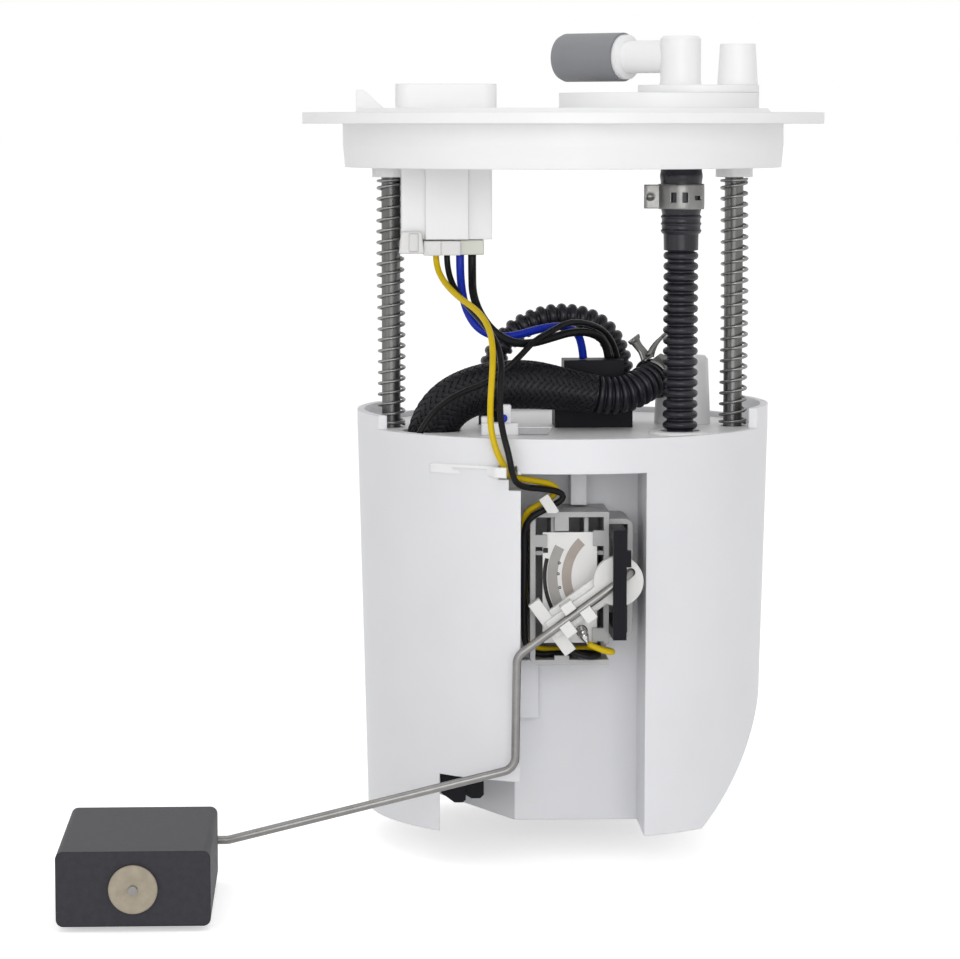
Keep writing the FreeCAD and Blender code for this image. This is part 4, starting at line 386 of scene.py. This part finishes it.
BLACK_THIN = [
    (-34.4, -11, -37.7), (-34.4, -11, -42.5), (-31.9, -17.8, -48.7), (-28.1, -25.8, -53.1),
    (-24.5, -33.2, -57), (-21.2, -40.3, -61.6), (-20.2, -47, -67.2), (-20.9, -52.6, -74),
    (-21.2, -57.4, -81), (-20.3, -60.2, -86.6), (-18.9, -61.1, -91.6), (-18.1, -61.4, -96.2),
    (-16.9, -59.2, -99.9), (-13.4, -55.4, -101.5), (-9.6, -53.2, -101.9), (-3.8, -51.2, -103),
    (-2.6, -50.4, -105.2),
    (-8, -51.8, -107.9), (-13.1, -51.9, -110.6), (-14.2, -49.9, -115.6), (-13.8, -49.3, -122),
    (-14.1, -49.4, -131.5), (-13.9, -49.2, -141), (-13.7, -49.3, -147), (-10.6, -47.9, -149.8),
    (-5, -46.6, -149.8), (1, -46, -149.7), (5.6, -47.4, -149.7), (7.8, -50.6, -149.7),
    (4.4, -53.2, -150), (-0.4, -52.9, -148.8), (-3.4, -51.9, -146.3),
]
BLUE = [
    (-30.6, -11, -37.7), (-30.6, -11, -43), (-30.2, -15.6, -48.8), (-29, -19.2, -54),
    (-26, -20.8, -58.8), (-20.8, -20, -61.4), (-14.6, -17, -61.2), (-8.2, -12.6, -59.6),
    (-1.8, -7.6, -58.8), (3, -3.4, -60), (5.6, -0.6, -63.4), (6.2, 0.4, -68.9),
]
BLACK_THICK = [
    (-27.1, -11, -37.7), (-27.1, -11, -43.7), (-27.2, -18, -49), (-25.4, -22.8, -54.4),
    (-21.6, -24.8, -59.6), (-16.2, -23.6, -62.8), (-10.3, -19.1, -63.4), (-3.9, -13.4, -62),
    (2.2, -8, -60.6), (8, -3, -61), (13.1, 1.2, -64), (13.7, 1.8, -68.9),
]
GROUND = [
    (16.5, 5, -68.9), (15.8, 4.2, -65.6), (12.8, 1.2, -61), (7.8, -4, -58.4),
    (1.6, -9.8, -57.4), (-4.5, -15.8, -60), (-9.7, -21.8, -62.4), (-14.2, -25, -67),
    (-19, -26.4, -71.2), (-24.6, -27, -74.6), (-30.4, -28, -76.6), (-36, -29.8, -79.6),
    (-40.8, -31.6, -83.9), (-44.2, -32.4, -90.4),
]
wire("yellow_lead", "wire_yellow", YELLOW, 1.8, yellow, FLANGE_TO_RIM)
wire("black_lead", "wire_black_thin", BLACK_THIN, 1.8, wire_black, FLANGE_TO_RIM)
wire("blue_lead", "wire_blue", BLUE, 2.4, blue, FLANGE_TO_TOP)
wire("pump_ground_lead", "wire_black_thick", BLACK_THICK, 2.4, wire_black, FLANGE_TO_TOP)
wire("cover_lead", "wire_ground", GROUND, 1.8, wire_black, None)


# The corrugated loop and the riser.

LOOP = [
    (-21.4, 8, -85), (-21.4, 8, -76.5), (-19.8, 8, -68.6), (-15, 8.2, -62.2), (-8.4, 8.6, -58.3),
    (-0.4, 9.6, -56.6), (8, 11, -57.8), (14.2, 12.6, -61.8), (17.8, 13.6, -68.4), (19, 14, -76.6),
    (19, 14, -85),
]
LOOP_CUFF = 4 * MM
LOOP_PITCH, LOOP_ROOT, LOOP_CREST = 2.95 * MM, 2.75 * MM, 3.8 * MM
loop_line = centreline(mm(LOOP))
loop_tube = swept(
    "corrugated_loop", loop_line,
    folds(LOOP_CUFF, LOOP_PITCH, LOOP_ROOT, LOOP_CREST, length_of(loop_line) - LOOP_CUFF),
    tube_black, 0.2 * MM, 28)
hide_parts("loop_tube")
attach(loop_tube, "reservoir")

RISER = [(8.7, -13, -78.5), (15.4, -12.68, -79.67), (24, -9, -76), (31.3, -0.5, -71.8)]
RISER_FOOT, RISER_CUFF = 0.4 * MM, 5 * MM
RISER_PITCH, RISER_ROOT, RISER_CREST = 2.1 * MM, 4.2 * MM, 5.5 * MM
riser_line = centreline(mm(RISER))
riser = swept(
    "corrugated_riser", riser_line,
    folds(RISER_FOOT, RISER_PITCH, RISER_ROOT, RISER_CREST, length_of(riser_line) - RISER_CUFF),
    tube_black, 0.16 * MM, 32)
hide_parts("riser_tube")
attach(riser, "reservoir")


# The braided sleeve: a dark liner and two sets of flat strands, two over and two under.

SLEEVE = [
    (8.7, -13, -78.5), (-1.6, -13.5, -76.7), (-12.6, -14.4, -75.2), (-24.6, -14.9, -76.2),
    (-34.6, -14.2, -81), (-39.6, -12, -89.8), (-39.6, -11.6, -97),
]
SLEEVE_STRANDS = 18
SLEEVE_TURN = 34 * MM
SLEEVE_NECK = 22 * MM
STRAND_SHARE = 0.80
STRAND_LIFT = 0.17
STRAND_THICK = 0.22
STRAND_SECTION = [
    (-0.5, -0.4), (-0.44, 0.25), (-0.3, 0.5), (-0.17, 0.22), (0, 0.55), (0.17, 0.22), (0.3, 0.5),
    (0.44, 0.25), (0.5, -0.4),
]


def sleeve_radius(run):
    """Narrow where the riser starts, then wider over the length of the neck."""
    share = min(1, run / SLEEVE_NECK)
    return (5.4 + 1.5 * share * share * (3 - 2 * share)) * MM


def braided(name, line, finish):
    """Flat strands in both directions round a line, which rise and dip as they cross."""
    spots = stations(line, 0.55 * MM)
    pairs = frames(spots)
    verts = []
    faces = []
    count = len(STRAND_SECTION)
    for way in (1, -1):
        for strand in range(SLEEVE_STRANDS):
            base = len(verts)
            for (spot, run), (side, up) in zip(spots, pairs):
                crossings = run / SLEEVE_TURN * 2 * SLEEVE_STRANDS
                swing = 2 * math.pi * (strand / SLEEVE_STRANDS + way * run / SLEEVE_TURN)
                lift = way * math.cos(math.pi / 2 * (2 * strand + way * crossings - 0.5))
                radius = sleeve_radius(run)
                width = 2 * math.pi * radius / SLEEVE_STRANDS * STRAND_SHARE
                for across, height in STRAND_SECTION:
                    turn = swing + across * width / radius
                    out = radius + (STRAND_LIFT * lift + STRAND_THICK * height) * MM
                    verts.append(spot + (side * math.cos(turn) + up * math.sin(turn)) * out)
            for i in range(len(spots) - 1):
                for k in range(count):
                    j = (k + 1) % count
                    a = base + i * count
                    faces.append((a + k, a + j, a + count + j, a + count + k))
            faces.append(tuple(base + k for k in range(count))[::-1])
            end = base + (len(spots) - 1) * count
            faces.append(tuple(end + k for k in range(count)))
    return mesh_object(name, verts, faces, finish)


sleeve_line = centreline(mm(SLEEVE))
sleeve = braided("braid_strands", sleeve_line, braid_black)
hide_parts("braided_sleeve")
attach(sleeve, "reservoir")
liner = swept(
    "sleeve_liner", sleeve_line, lambda run: sleeve_radius(run) - 0.3 * MM, braid_black, 1 * MM, 32)
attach(liner, "reservoir")


# The supply hose: cuff with three ridges, smooth neck, then folds.

HOSE_TOP = 6.3 * MM
HOSE_FOOT = 95.6 * MM
CUFF_END = 26
CUFF_TAPER = 2
CUFF_SWELL = 15
RIDGES = (26.6, 28.6, 30.6)
RIDGES_END = 31.5
NECK_END = 36.2
FOLD_PITCH = 3.05


def bump_at(drop, centre, width):
    return math.exp(-((drop - centre) / width) ** 2)


def hose_radius(run):
    """Radius in metres at a drop of run metres below the flange underside."""
    drop = run / MM
    if drop < CUFF_END:
        taper = max(0, min(1, (drop - (CUFF_END - CUFF_TAPER)) / CUFF_TAPER))
        return (5.9 - 0.5 * taper + 0.25 * bump_at(drop, CUFF_SWELL, 1.2)) * MM
    if drop < RIDGES_END:
        return (5.55 + 0.35 * sum(bump_at(drop, ridge, 0.35) for ridge in RIDGES)) * MM
    if drop < NECK_END:
        return (5.05 - 0.02 * (drop - RIDGES_END)) * MM
    return (3.85 + 1.2 * bead(((drop - NECK_END) / FOLD_PITCH) % 1)) * MM


hose_line = [Vector((HOSE_X, HOSE_Y, -HOSE_TOP)), Vector((HOSE_X, HOSE_Y, -HOSE_FOOT))]
hose = swept("folded_hose", hose_line, lambda run: hose_radius(run + HOSE_TOP), tube_black, 0.2 * MM, 40)
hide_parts("supply_hose")
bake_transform(hose)


# The springs: 22 open turns with a closed turn at each end.

SPRING_TOP = -15.8 * MM
SPRING_FOOT = -88.65 * MM
SPRING_WIRE = 0.42 * MM
SPRING_RADIUS = 3.75 * MM
SPRING_TURNS = 24
TURN_STEPS = 40
CLOSED_SLACK = 1.15
SPRING_SWAY = 0.35 * MM


def spring(side, word):
    """One spring round its rod. It sways a little to one side between its ends."""
    drop = SPRING_TOP - SPRING_FOOT - 2 * SPRING_WIRE
    closed = 2 * SPRING_WIRE / drop * CLOSED_SLACK
    line = []
    for i in range(SPRING_TURNS * TURN_STEPS + 1):
        share = i / (SPRING_TURNS * TURN_STEPS)
        at = share * SPRING_TURNS
        if at < 1:
            rise = closed * at
        elif at > SPRING_TURNS - 1:
            rise = 1 - closed * (SPRING_TURNS - at)
        else:
            rise = closed + (1 - 2 * closed) * (at - 1) / (SPRING_TURNS - 2)
        swing = 2 * math.pi * at
        lean = 1 if side > 0 else math.cos(math.pi * rise)
        sway = SPRING_SWAY * math.sin(math.pi * rise) * lean
        line.append(Vector((
            side * ROD_X + sway + SPRING_RADIUS * math.cos(swing),
            SPRING_RADIUS * math.sin(swing),
            SPRING_FOOT + SPRING_WIRE + rise * drop,
        )))
    piece = swept("coil_%s" % word, line, SPRING_WIRE, spring_steel, 0.6 * MM, 10)
    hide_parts("spring_%s" % word)
    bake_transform(piece)


spring(-1, "left")
spring(1, "right")


# The harness plug: its body in the shroud, the latch at its left, and three wire outlets below it.

plug = joined("plug_body", [
    block((-45.3, -13.4, -34.6), (-23.9, 1.6, -25), ivory, 0.4),
    block((-47.8, -18.6, -37.4), (-41.9, -16.2, -30.9), ivory, 0.5, 0, -0.7),
    block((-45.6, -19, -36.8), (-42.9, -18.2, -31.5), ivory, 0.35),
    block((-46.4, -16.6, -37.4), (-41.6, -4, -33.8), ivory, 0.4),
    block((-41.4, -17.4, -38), (-36.2, 0.4, -33.7), ivory, 0.4),
    block((-36.4, -17.2, -37.9), (-30.6, 0.4, -33.7), ivory, 0.35),
    block((-30.9, -15.6, -37.8), (-23.8, 0.4, -33.5), green_nylon, 0.35),
])
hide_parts("harness_plug")
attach(plug, "flange")


# The lip that holds the sender leads in at the wire slot. Its right end stands off the bucket.

LIP_LOW = -98.2
LIP_HIGH = -95.2
LIP_START = 48
LIP_SWEEP = 24.4
LIP_STEPS = 48
LIP_EDGE = 0.3
PANEL_RADIUS = 60.36
PANEL_GROWTH = 1.95
LIP_BURIED = 2
LIP_PROUD = 0.05
LIFT_START, LIFT_SHARE = 0.74, 0.17
LIFT_INNER, LIFT_OUTER = 3.9, 2.75


def slot_lip():
    """A strip round the panel's face that lifts off it towards its right end, over the leads."""
    verts = []
    faces = []
    for i in range(LIP_STEPS + 1):
        share = i / LIP_STEPS
        turn = math.radians(LIP_START + LIP_SWEEP * share)
        face_radius = PANEL_RADIUS + PANEL_GROWTH * share
        lift = max(0, min(1, (share - LIFT_START) / LIFT_SHARE))
        lift = lift * lift * (3 - 2 * lift)
        inner = face_radius - LIP_BURIED + LIFT_INNER * lift
        outer = face_radius + LIP_PROUD + LIFT_OUTER * lift
        for radius, level in (
                (inner, LIP_LOW), (outer - LIP_EDGE, LIP_LOW), (outer, LIP_LOW + LIP_EDGE),
                (outer, LIP_HIGH - LIP_EDGE), (outer - LIP_EDGE, LIP_HIGH), (inner, LIP_HIGH)):
            verts.append(Vector((-radius * math.cos(turn), -radius * math.sin(turn), level)) * MM)
    for i in range(LIP_STEPS):
        for k in range(6):
            a, b = 6 * i + k, 6 * i + (k + 1) % 6
            faces.append((a, b, b + 6, a + 6))
    faces.append(tuple(range(6))[::-1])
    faces.append(tuple(6 * LIP_STEPS + k for k in range(6)))
    return verts, faces, white


lip = joined("slot_lip", [slot_lip()])
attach(lip, "reservoir")


# The latch on the cover, its blue key and the clear strip beside it. The strip is a real part; its grey
# colour is painted shade, the cover's shadow seen through it.

KEY_LINE = [(-18.9, -31.2, -84), (-18.9, -30.6, -84), (-18.9, -29.6, -84)]
latch = joined("latch_post", [
    block((-25.2, -30.6, -89), (-14.6, -26, -85.4), white, 0.4),
    block((-25.2, -30.2, -85.6), (-21.6, -26.4, -83.6), white, 0.4),
    block((-19.9, -30.2, -85.6), (-16.6, -26.6, -80.2), white, 0.5),
    # The clear strip, a real part, grey with painted shade from the cover's shadow.
    block((-14.9, -29.8, -88.9), (-4.6, -26.6, -86.9), clear_strip_painted_shade, 0.3, -1.5),
    tube_part(mm(KEY_LINE), 1.15 * MM, blue, 0.3 * MM, 20),
])
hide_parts("cover_latch")
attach(latch, "reservoir")


# The card's printed arcs, square and dots, and the solder on its two pads.

PIVOT = (11.9, -127.4)
INK_FRONT, INK_BACK = -49.34, -49.22
inks = [
    band(PIVOT, 12.5, 15.2, 134, 84, INK_FRONT, INK_BACK, brown_ink),
    band(PIVOT, 16.45, 19.3, 152, 66, INK_FRONT, INK_BACK, grey_ink),
    band(PIVOT, 19.5, 20.6, 165, 50, INK_FRONT, INK_BACK, dark_ink),
    block((-8.6, INK_FRONT, -120.6), (-7.2, INK_BACK, -119.2), dark_ink, 0.03),
    block((-8.68, INK_FRONT, -120.05), (-8.5, INK_BACK, -119.75), dark_ink, 0.03),
]
for dot in ((-4.05, -123.5), (-4.3, -126.6), (-3.85, -130.5)):
    inks.append(band(dot, 0.2, 0.42, 0, 360, INK_FRONT, INK_BACK, dark_ink, 20))
tracks = joined("printed_tracks", inks)
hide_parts("resistor_tracks")
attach(tracks, "reservoir")

RIGHT_JOINT = [(4, -51.9, -146.3), (3.3, -51.2, -145), (2.5, -50.5, -143), (2, -50.1, -141.4)]
LEFT_JOINT = [(-3.4, -51.9, -146.3), (-3.6, -51.2, -145.2), (-4.1, -50.3, -144), (-4.4, -50, -143.4)]


def lump(line, least, most):
    """Radius of a drop of solder along a short line, with a few faint ridges."""
    total = length_of(line)

    def radius(run):
        share = min(1, run / total)
        ridges = 0.07 * math.sin(19 * share)
        swell = max(0, math.sin(math.pi * max(0, share - 0.12) / 0.9))
        return (least + (most - least) * swell * (1 + ridges)) * MM
    return radius


right_line = centreline(mm(RIGHT_JOINT))
left_line = centreline(mm(LEFT_JOINT))
joints = joined("solder_joints", [
    tube_part(right_line, lump(right_line, 0.5, 1.35), solder, 0.15 * MM, 24),
    tube_part(left_line, lump(left_line, 0.45, 0.8), solder, 0.12 * MM, 20),
    band((2.4, -142.9), 0, 1.7, 0, 360, -49.6, -49.25, solder, 24),
    band((-4.1, -144.2), 0, 1.1, 0, 360, -49.5, -49.25, solder, 20),
], True)
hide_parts("card_terminals")
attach(joints, "reservoir")


# The ear clamp on the hose cuff: a band with two windows and a raised tooth, and a dented ear.

CLAMP_TOP, CLAMP_LOW = -17.2, -24.4
CLAMP_INNER, CLAMP_OUTER = 5.95, 6.65


def wrapped(radius, turn, height):
    """A place on the clamp, turn degrees to the right of its front."""
    angle = math.radians(turn - 90)
    return Vector((
        HOSE_X / MM + radius * math.cos(angle), HOSE_Y / MM + radius * math.sin(angle), height)) * MM


def clamp_sheet():
    """The band as a thick sheet of small faces, left open where the windows are.

    A window is given by its first and last turn in degrees and its lowest and highest level.
    """
    windows = ((-32, -18, -22.3, -19.6), (-2, 12, -22.3, -19.6), (30, 54, -21.6, -20.6))
    rows = 24
    middle = (CLAMP_TOP + CLAMP_LOW) / 2
    turns = [-180 + 2 * k for k in range(181)]
    heights = [CLAMP_LOW + (CLAMP_TOP - CLAMP_LOW) * k / rows for k in range(rows + 1)]

    def is_open(i, j):
        turn = (turns[i] + turns[i + 1]) / 2
        height = (heights[j] + heights[j + 1]) / 2
        return any(a < turn < b and c < height < d for a, b, c, d in windows)

    verts = []
    for radius in (CLAMP_INNER, CLAMP_OUTER):
        for turn in turns[:-1]:
            for height in heights:
                rolled = 0.12 * (abs(height - middle) / 3.6) ** 8
                tooth = 0.35 * math.exp(-((turn - 36) / 9) ** 2 - ((height + 21.6) / 0.7) ** 2)
                verts.append(wrapped(radius - rolled + tooth, turn, height))
    wide = len(turns) - 1
    tall = len(heights)

    def spot(layer, i, j):
        return layer * wide * tall + (i % wide) * tall + j

    faces = []
    for i in range(wide):
        for j in range(tall - 1):
            if is_open(i, j):
                continue
            faces.append((spot(0, i, j), spot(0, i, j + 1), spot(0, i + 1, j + 1), spot(0, i + 1, j)))
            faces.append((spot(1, i, j), spot(1, i + 1, j), spot(1, i + 1, j + 1), spot(1, i, j + 1)))
            if j == 0 or is_open(i, j - 1):
                faces.append((spot(0, i, j), spot(0, i + 1, j), spot(1, i + 1, j), spot(1, i, j)))
            if j == tall - 2 or is_open(i, j + 1):
                faces.append(
                    (spot(0, i, j + 1), spot(1, i, j + 1), spot(1, i + 1, j + 1), spot(0, i + 1, j + 1)))
            if is_open((i - 1) % wide, j):
                faces.append((spot(0, i, j), spot(1, i, j), spot(1, i, j + 1), spot(0, i, j + 1)))
            if is_open((i + 1) % wide, j):
                faces.append(
                    (spot(0, i + 1, j), spot(0, i + 1, j + 1), spot(1, i + 1, j + 1), spot(1, i + 1, j)))
    return verts, faces, clamp_steel


def clamp_ear():
    """The folded ear on the left, with a round dent in its front."""
    left = HOSE_X / MM - CLAMP_OUTER - 4
    right = HOSE_X / MM - CLAMP_INNER + 0.2
    wide = 24
    tall = 24
    verts = []
    faces = []
    for depth in (HOSE_Y / MM - 1.45, HOSE_Y / MM + 1.45):
        for i in range(wide + 1):
            for j in range(tall + 1):
                x = left + (right - left) * i / wide
                z = CLAMP_LOW + 0.2 + (CLAMP_TOP - CLAMP_LOW - 0.4) * j / tall
                across = (x - left - 1.6) / 1.05
                along = (z - (CLAMP_TOP + CLAMP_LOW) / 2) / 0.85
                dent = 0.8 * math.exp(-(across * across + along * along) ** 2)
                curl = 0.5 * math.exp(-(x - left) / 0.45)
                toward = 1 if depth < HOSE_Y / MM else -1
                verts.append(Vector((x, depth + toward * (dent + curl), z)) * MM)
    layer = (wide + 1) * (tall + 1)
    for i in range(wide):
        for j in range(tall):
            a = i * (tall + 1) + j
            faces.append((a, a + tall + 1, a + tall + 2, a + 1))
            faces.append((layer + a, layer + a + 1, layer + a + tall + 2, layer + a + tall + 1))
    rim = [i * (tall + 1) for i in range(wide + 1)]
    rim += [wide * (tall + 1) + j for j in range(1, tall + 1)]
    rim += [i * (tall + 1) + tall for i in range(wide - 1, -1, -1)]
    rim += [j for j in range(tall - 1, 0, -1)]
    for a, b in zip(rim, rim[1:] + rim[:1]):
        faces.append((a, layer + a, layer + b, b))
    return verts, faces, clamp_steel


hose_clip = joined("ear_clamp", [clamp_sheet(), clamp_ear()], True)
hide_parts("hose_clamp")
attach(hose_clip, "flange")


# The spring clamp on the riser: a flat band with two tangs that bend outward.

RING_TURN = Vector((0.61, 0.71, 0.351)).normalized()
RING_AT = Vector((27.4, -5, -74)) * MM
RING_RADIUS = 6.05
LEFT_TANG = [(24.4, -4.2, -68.6), (23.4, -4.2, -66.6), (21.6, -4.4, -64.6), (20.6, -4.6, -62.6)]
RIGHT_TANG = [(25.6, -3.6, -68), (26.4, -3.4, -65.8), (28.2, -3, -63.4), (30.4, -2.6, -61.6)]


def ribbon(line, width, thick, finish, across):
    """A flat strip along a line, wide along the across direction, in millimetres."""
    spots = [spot for spot, run in stations(line, 0.35 * MM)]
    verts = []
    faces = []
    for i, spot in enumerate(spots):
        ahead = (spots[min(i + 1, len(spots) - 1)] - spots[max(i - 1, 0)]).normalized()
        side = (across - ahead * across.dot(ahead)).normalized()
        up = ahead.cross(side)
        share = i / (len(spots) - 1)
        half = width / 2 * width_of(share) * MM
        for a, b in ((-1, -1), (1, -1), (1, 1), (-1, 1)):
            verts.append(spot + side * half * a + up * thick / 2 * MM * b)
    for i in range(len(spots) - 1):
        for k in range(4):
            a, b = 4 * i + k, 4 * i + (k + 1) % 4
            faces.append((a, b, b + 4, a + 4))
    last = 4 * (len(spots) - 1)
    faces.append((3, 2, 1, 0))
    faces.append((last, last + 1, last + 2, last + 3))
    return verts, faces, finish


def width_of(share):
    """A tang narrows at its waist and widens to a rounded grip."""
    return 1 - 0.35 * math.sin(math.pi * share) + (0.25 if share > 0.8 else 0)


def ring_line():
    """The band's path round the riser, open between the two tangs."""
    side = RING_TURN.cross(Vector((0, 0, 1))).normalized()
    up = side.cross(RING_TURN)
    return [
        RING_AT + (side * math.cos(turn) + up * math.sin(turn)) * RING_RADIUS * MM
        for turn in (math.radians(100 + 5 * k) for k in range(69))
    ]


riser_clip = joined("spring_clamp", [
    ribbon(ring_line(), 4.4, 0.7, clamp_steel, RING_TURN),
    ribbon(centreline(mm(LEFT_TANG)), 4.2, 0.8, clamp_steel, RING_TURN),
    ribbon(centreline(mm(RIGHT_TANG)), 3.8, 0.8, clamp_steel, RING_TURN),
], True)
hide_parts("riser_clamp")
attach(riser_clip, "reservoir")


# Floor, light and camera.

def seen_straight(tree, otherwise, straight):
    """A strength for camera, mirror and see-through rays, and another for the light itself."""
    path = tree.nodes.new("ShaderNodeLightPath")
    first = tree.nodes.new("ShaderNodeMath")
    first.operation = "MAXIMUM"
    tree.links.new(path.outputs["Is Camera Ray"], first.inputs[0])
    tree.links.new(path.outputs["Is Glossy Ray"], first.inputs[1])
    second = tree.nodes.new("ShaderNodeMath")
    second.operation = "MAXIMUM"
    tree.links.new(first.outputs["Value"], second.inputs[0])
    tree.links.new(path.outputs["Is Transmission Ray"], second.inputs[1])
    level = tree.nodes.new("ShaderNodeMapRange")
    level.inputs["To Min"].default_value = otherwise
    level.inputs["To Max"].default_value = straight
    tree.links.new(second.outputs["Value"], level.inputs["Value"])
    return level.outputs["Result"]


FLOOR_COLOR = (0.92, 0.92, 0.92, 1)
FLOOR_GLOW = 0.5
PURE_WHITE = (1, 1, 1, 1)


def plain_white():
    """White to the camera and in reflections, a pale floor to everything else."""
    mat = bpy.data.materials.new("pale_floor")
    mat.use_nodes = True
    tree = mat.node_tree
    shader = tree.nodes["Principled BSDF"]
    shader.inputs["Base Color"].default_value = FLOOR_COLOR
    shader.inputs["Roughness"].default_value = 0.9
    tree.links.new(seen_straight(tree, 0, FLOOR_GLOW), shader.inputs["Emission Strength"])
    shader.inputs["Emission Color"].default_value = PURE_WHITE
    return mat


FLOOR_HALF = 30
floor_mesh = bmesh.new()
bmesh.ops.create_grid(floor_mesh, x_segments=1, y_segments=1, size=FLOOR_HALF)
floor_data = bpy.data.meshes.new("floor")
floor_mesh.to_mesh(floor_data)
floor_mesh.free()
floor = bpy.data.objects.new("floor", floor_data)
floor.location = (0, 0, FLOOR_LEVEL)
floor.data.materials.append(plain_white())
bpy.context.scene.collection.objects.link(floor)


def lamp(name, place, aim, size, power):
    """A soft box at a place in metres that faces the aim, with its power in watts."""
    data = bpy.data.lights.new(name, "AREA")
    data.shape = "RECTANGLE"
    data.size, data.size_y = size
    data.energy = power
    item = bpy.data.objects.new(name, data)
    item.location = place
    item.rotation_euler = (Vector(aim) - Vector(place)).to_track_quat("-Z", "Y").to_euler()
    bpy.context.scene.collection.objects.link(item)


lamp("top_box", (0.0, -0.1, 0.9), (0, 0, -0.1), (1.2, 1.0), 2.6)
lamp("left_box", (-1.0, -0.9, 0.3), (0, 0, -0.12), (0.7, 1.1), 1.5)
lamp("right_box", (1.0, -0.8, 0.35), (0, 0, -0.12), (0.7, 1.1), 0.5)
lamp("front_box", (0.0, -1.5, 0.12), (0, 0, -0.1), (1.0, 0.8), 7.0)

SKY_LIGHT = 0.56
SKY_SEEN = 1.0
world = bpy.data.worlds.new("studio")
bpy.context.scene.world = world
world.use_nodes = True
sky = world.node_tree
back = sky.nodes["Background"]
sky.links.new(seen_straight(sky, SKY_LIGHT, SKY_SEEN), back.inputs["Strength"])
back.inputs["Color"].default_value = PURE_WHITE

CAMERA_PLACE = (-0.06835, -1.029, 0.0006)
CAMERA_DIP = 5.84
CAMERA_TURN = -2.45
view = bpy.data.cameras.new("camera")
view.lens = 131.25
view.sensor_width = 36
view.clip_start = 0.05
view.clip_end = 100
camera = bpy.data.objects.new("camera", view)
camera.location = CAMERA_PLACE
camera.rotation_euler = (math.radians(90 - CAMERA_DIP), 0, math.radians(CAMERA_TURN))
bpy.context.scene.collection.objects.link(camera)
bpy.context.scene.camera = camera
bpy.context.scene.view_settings.view_transform = "Standard"
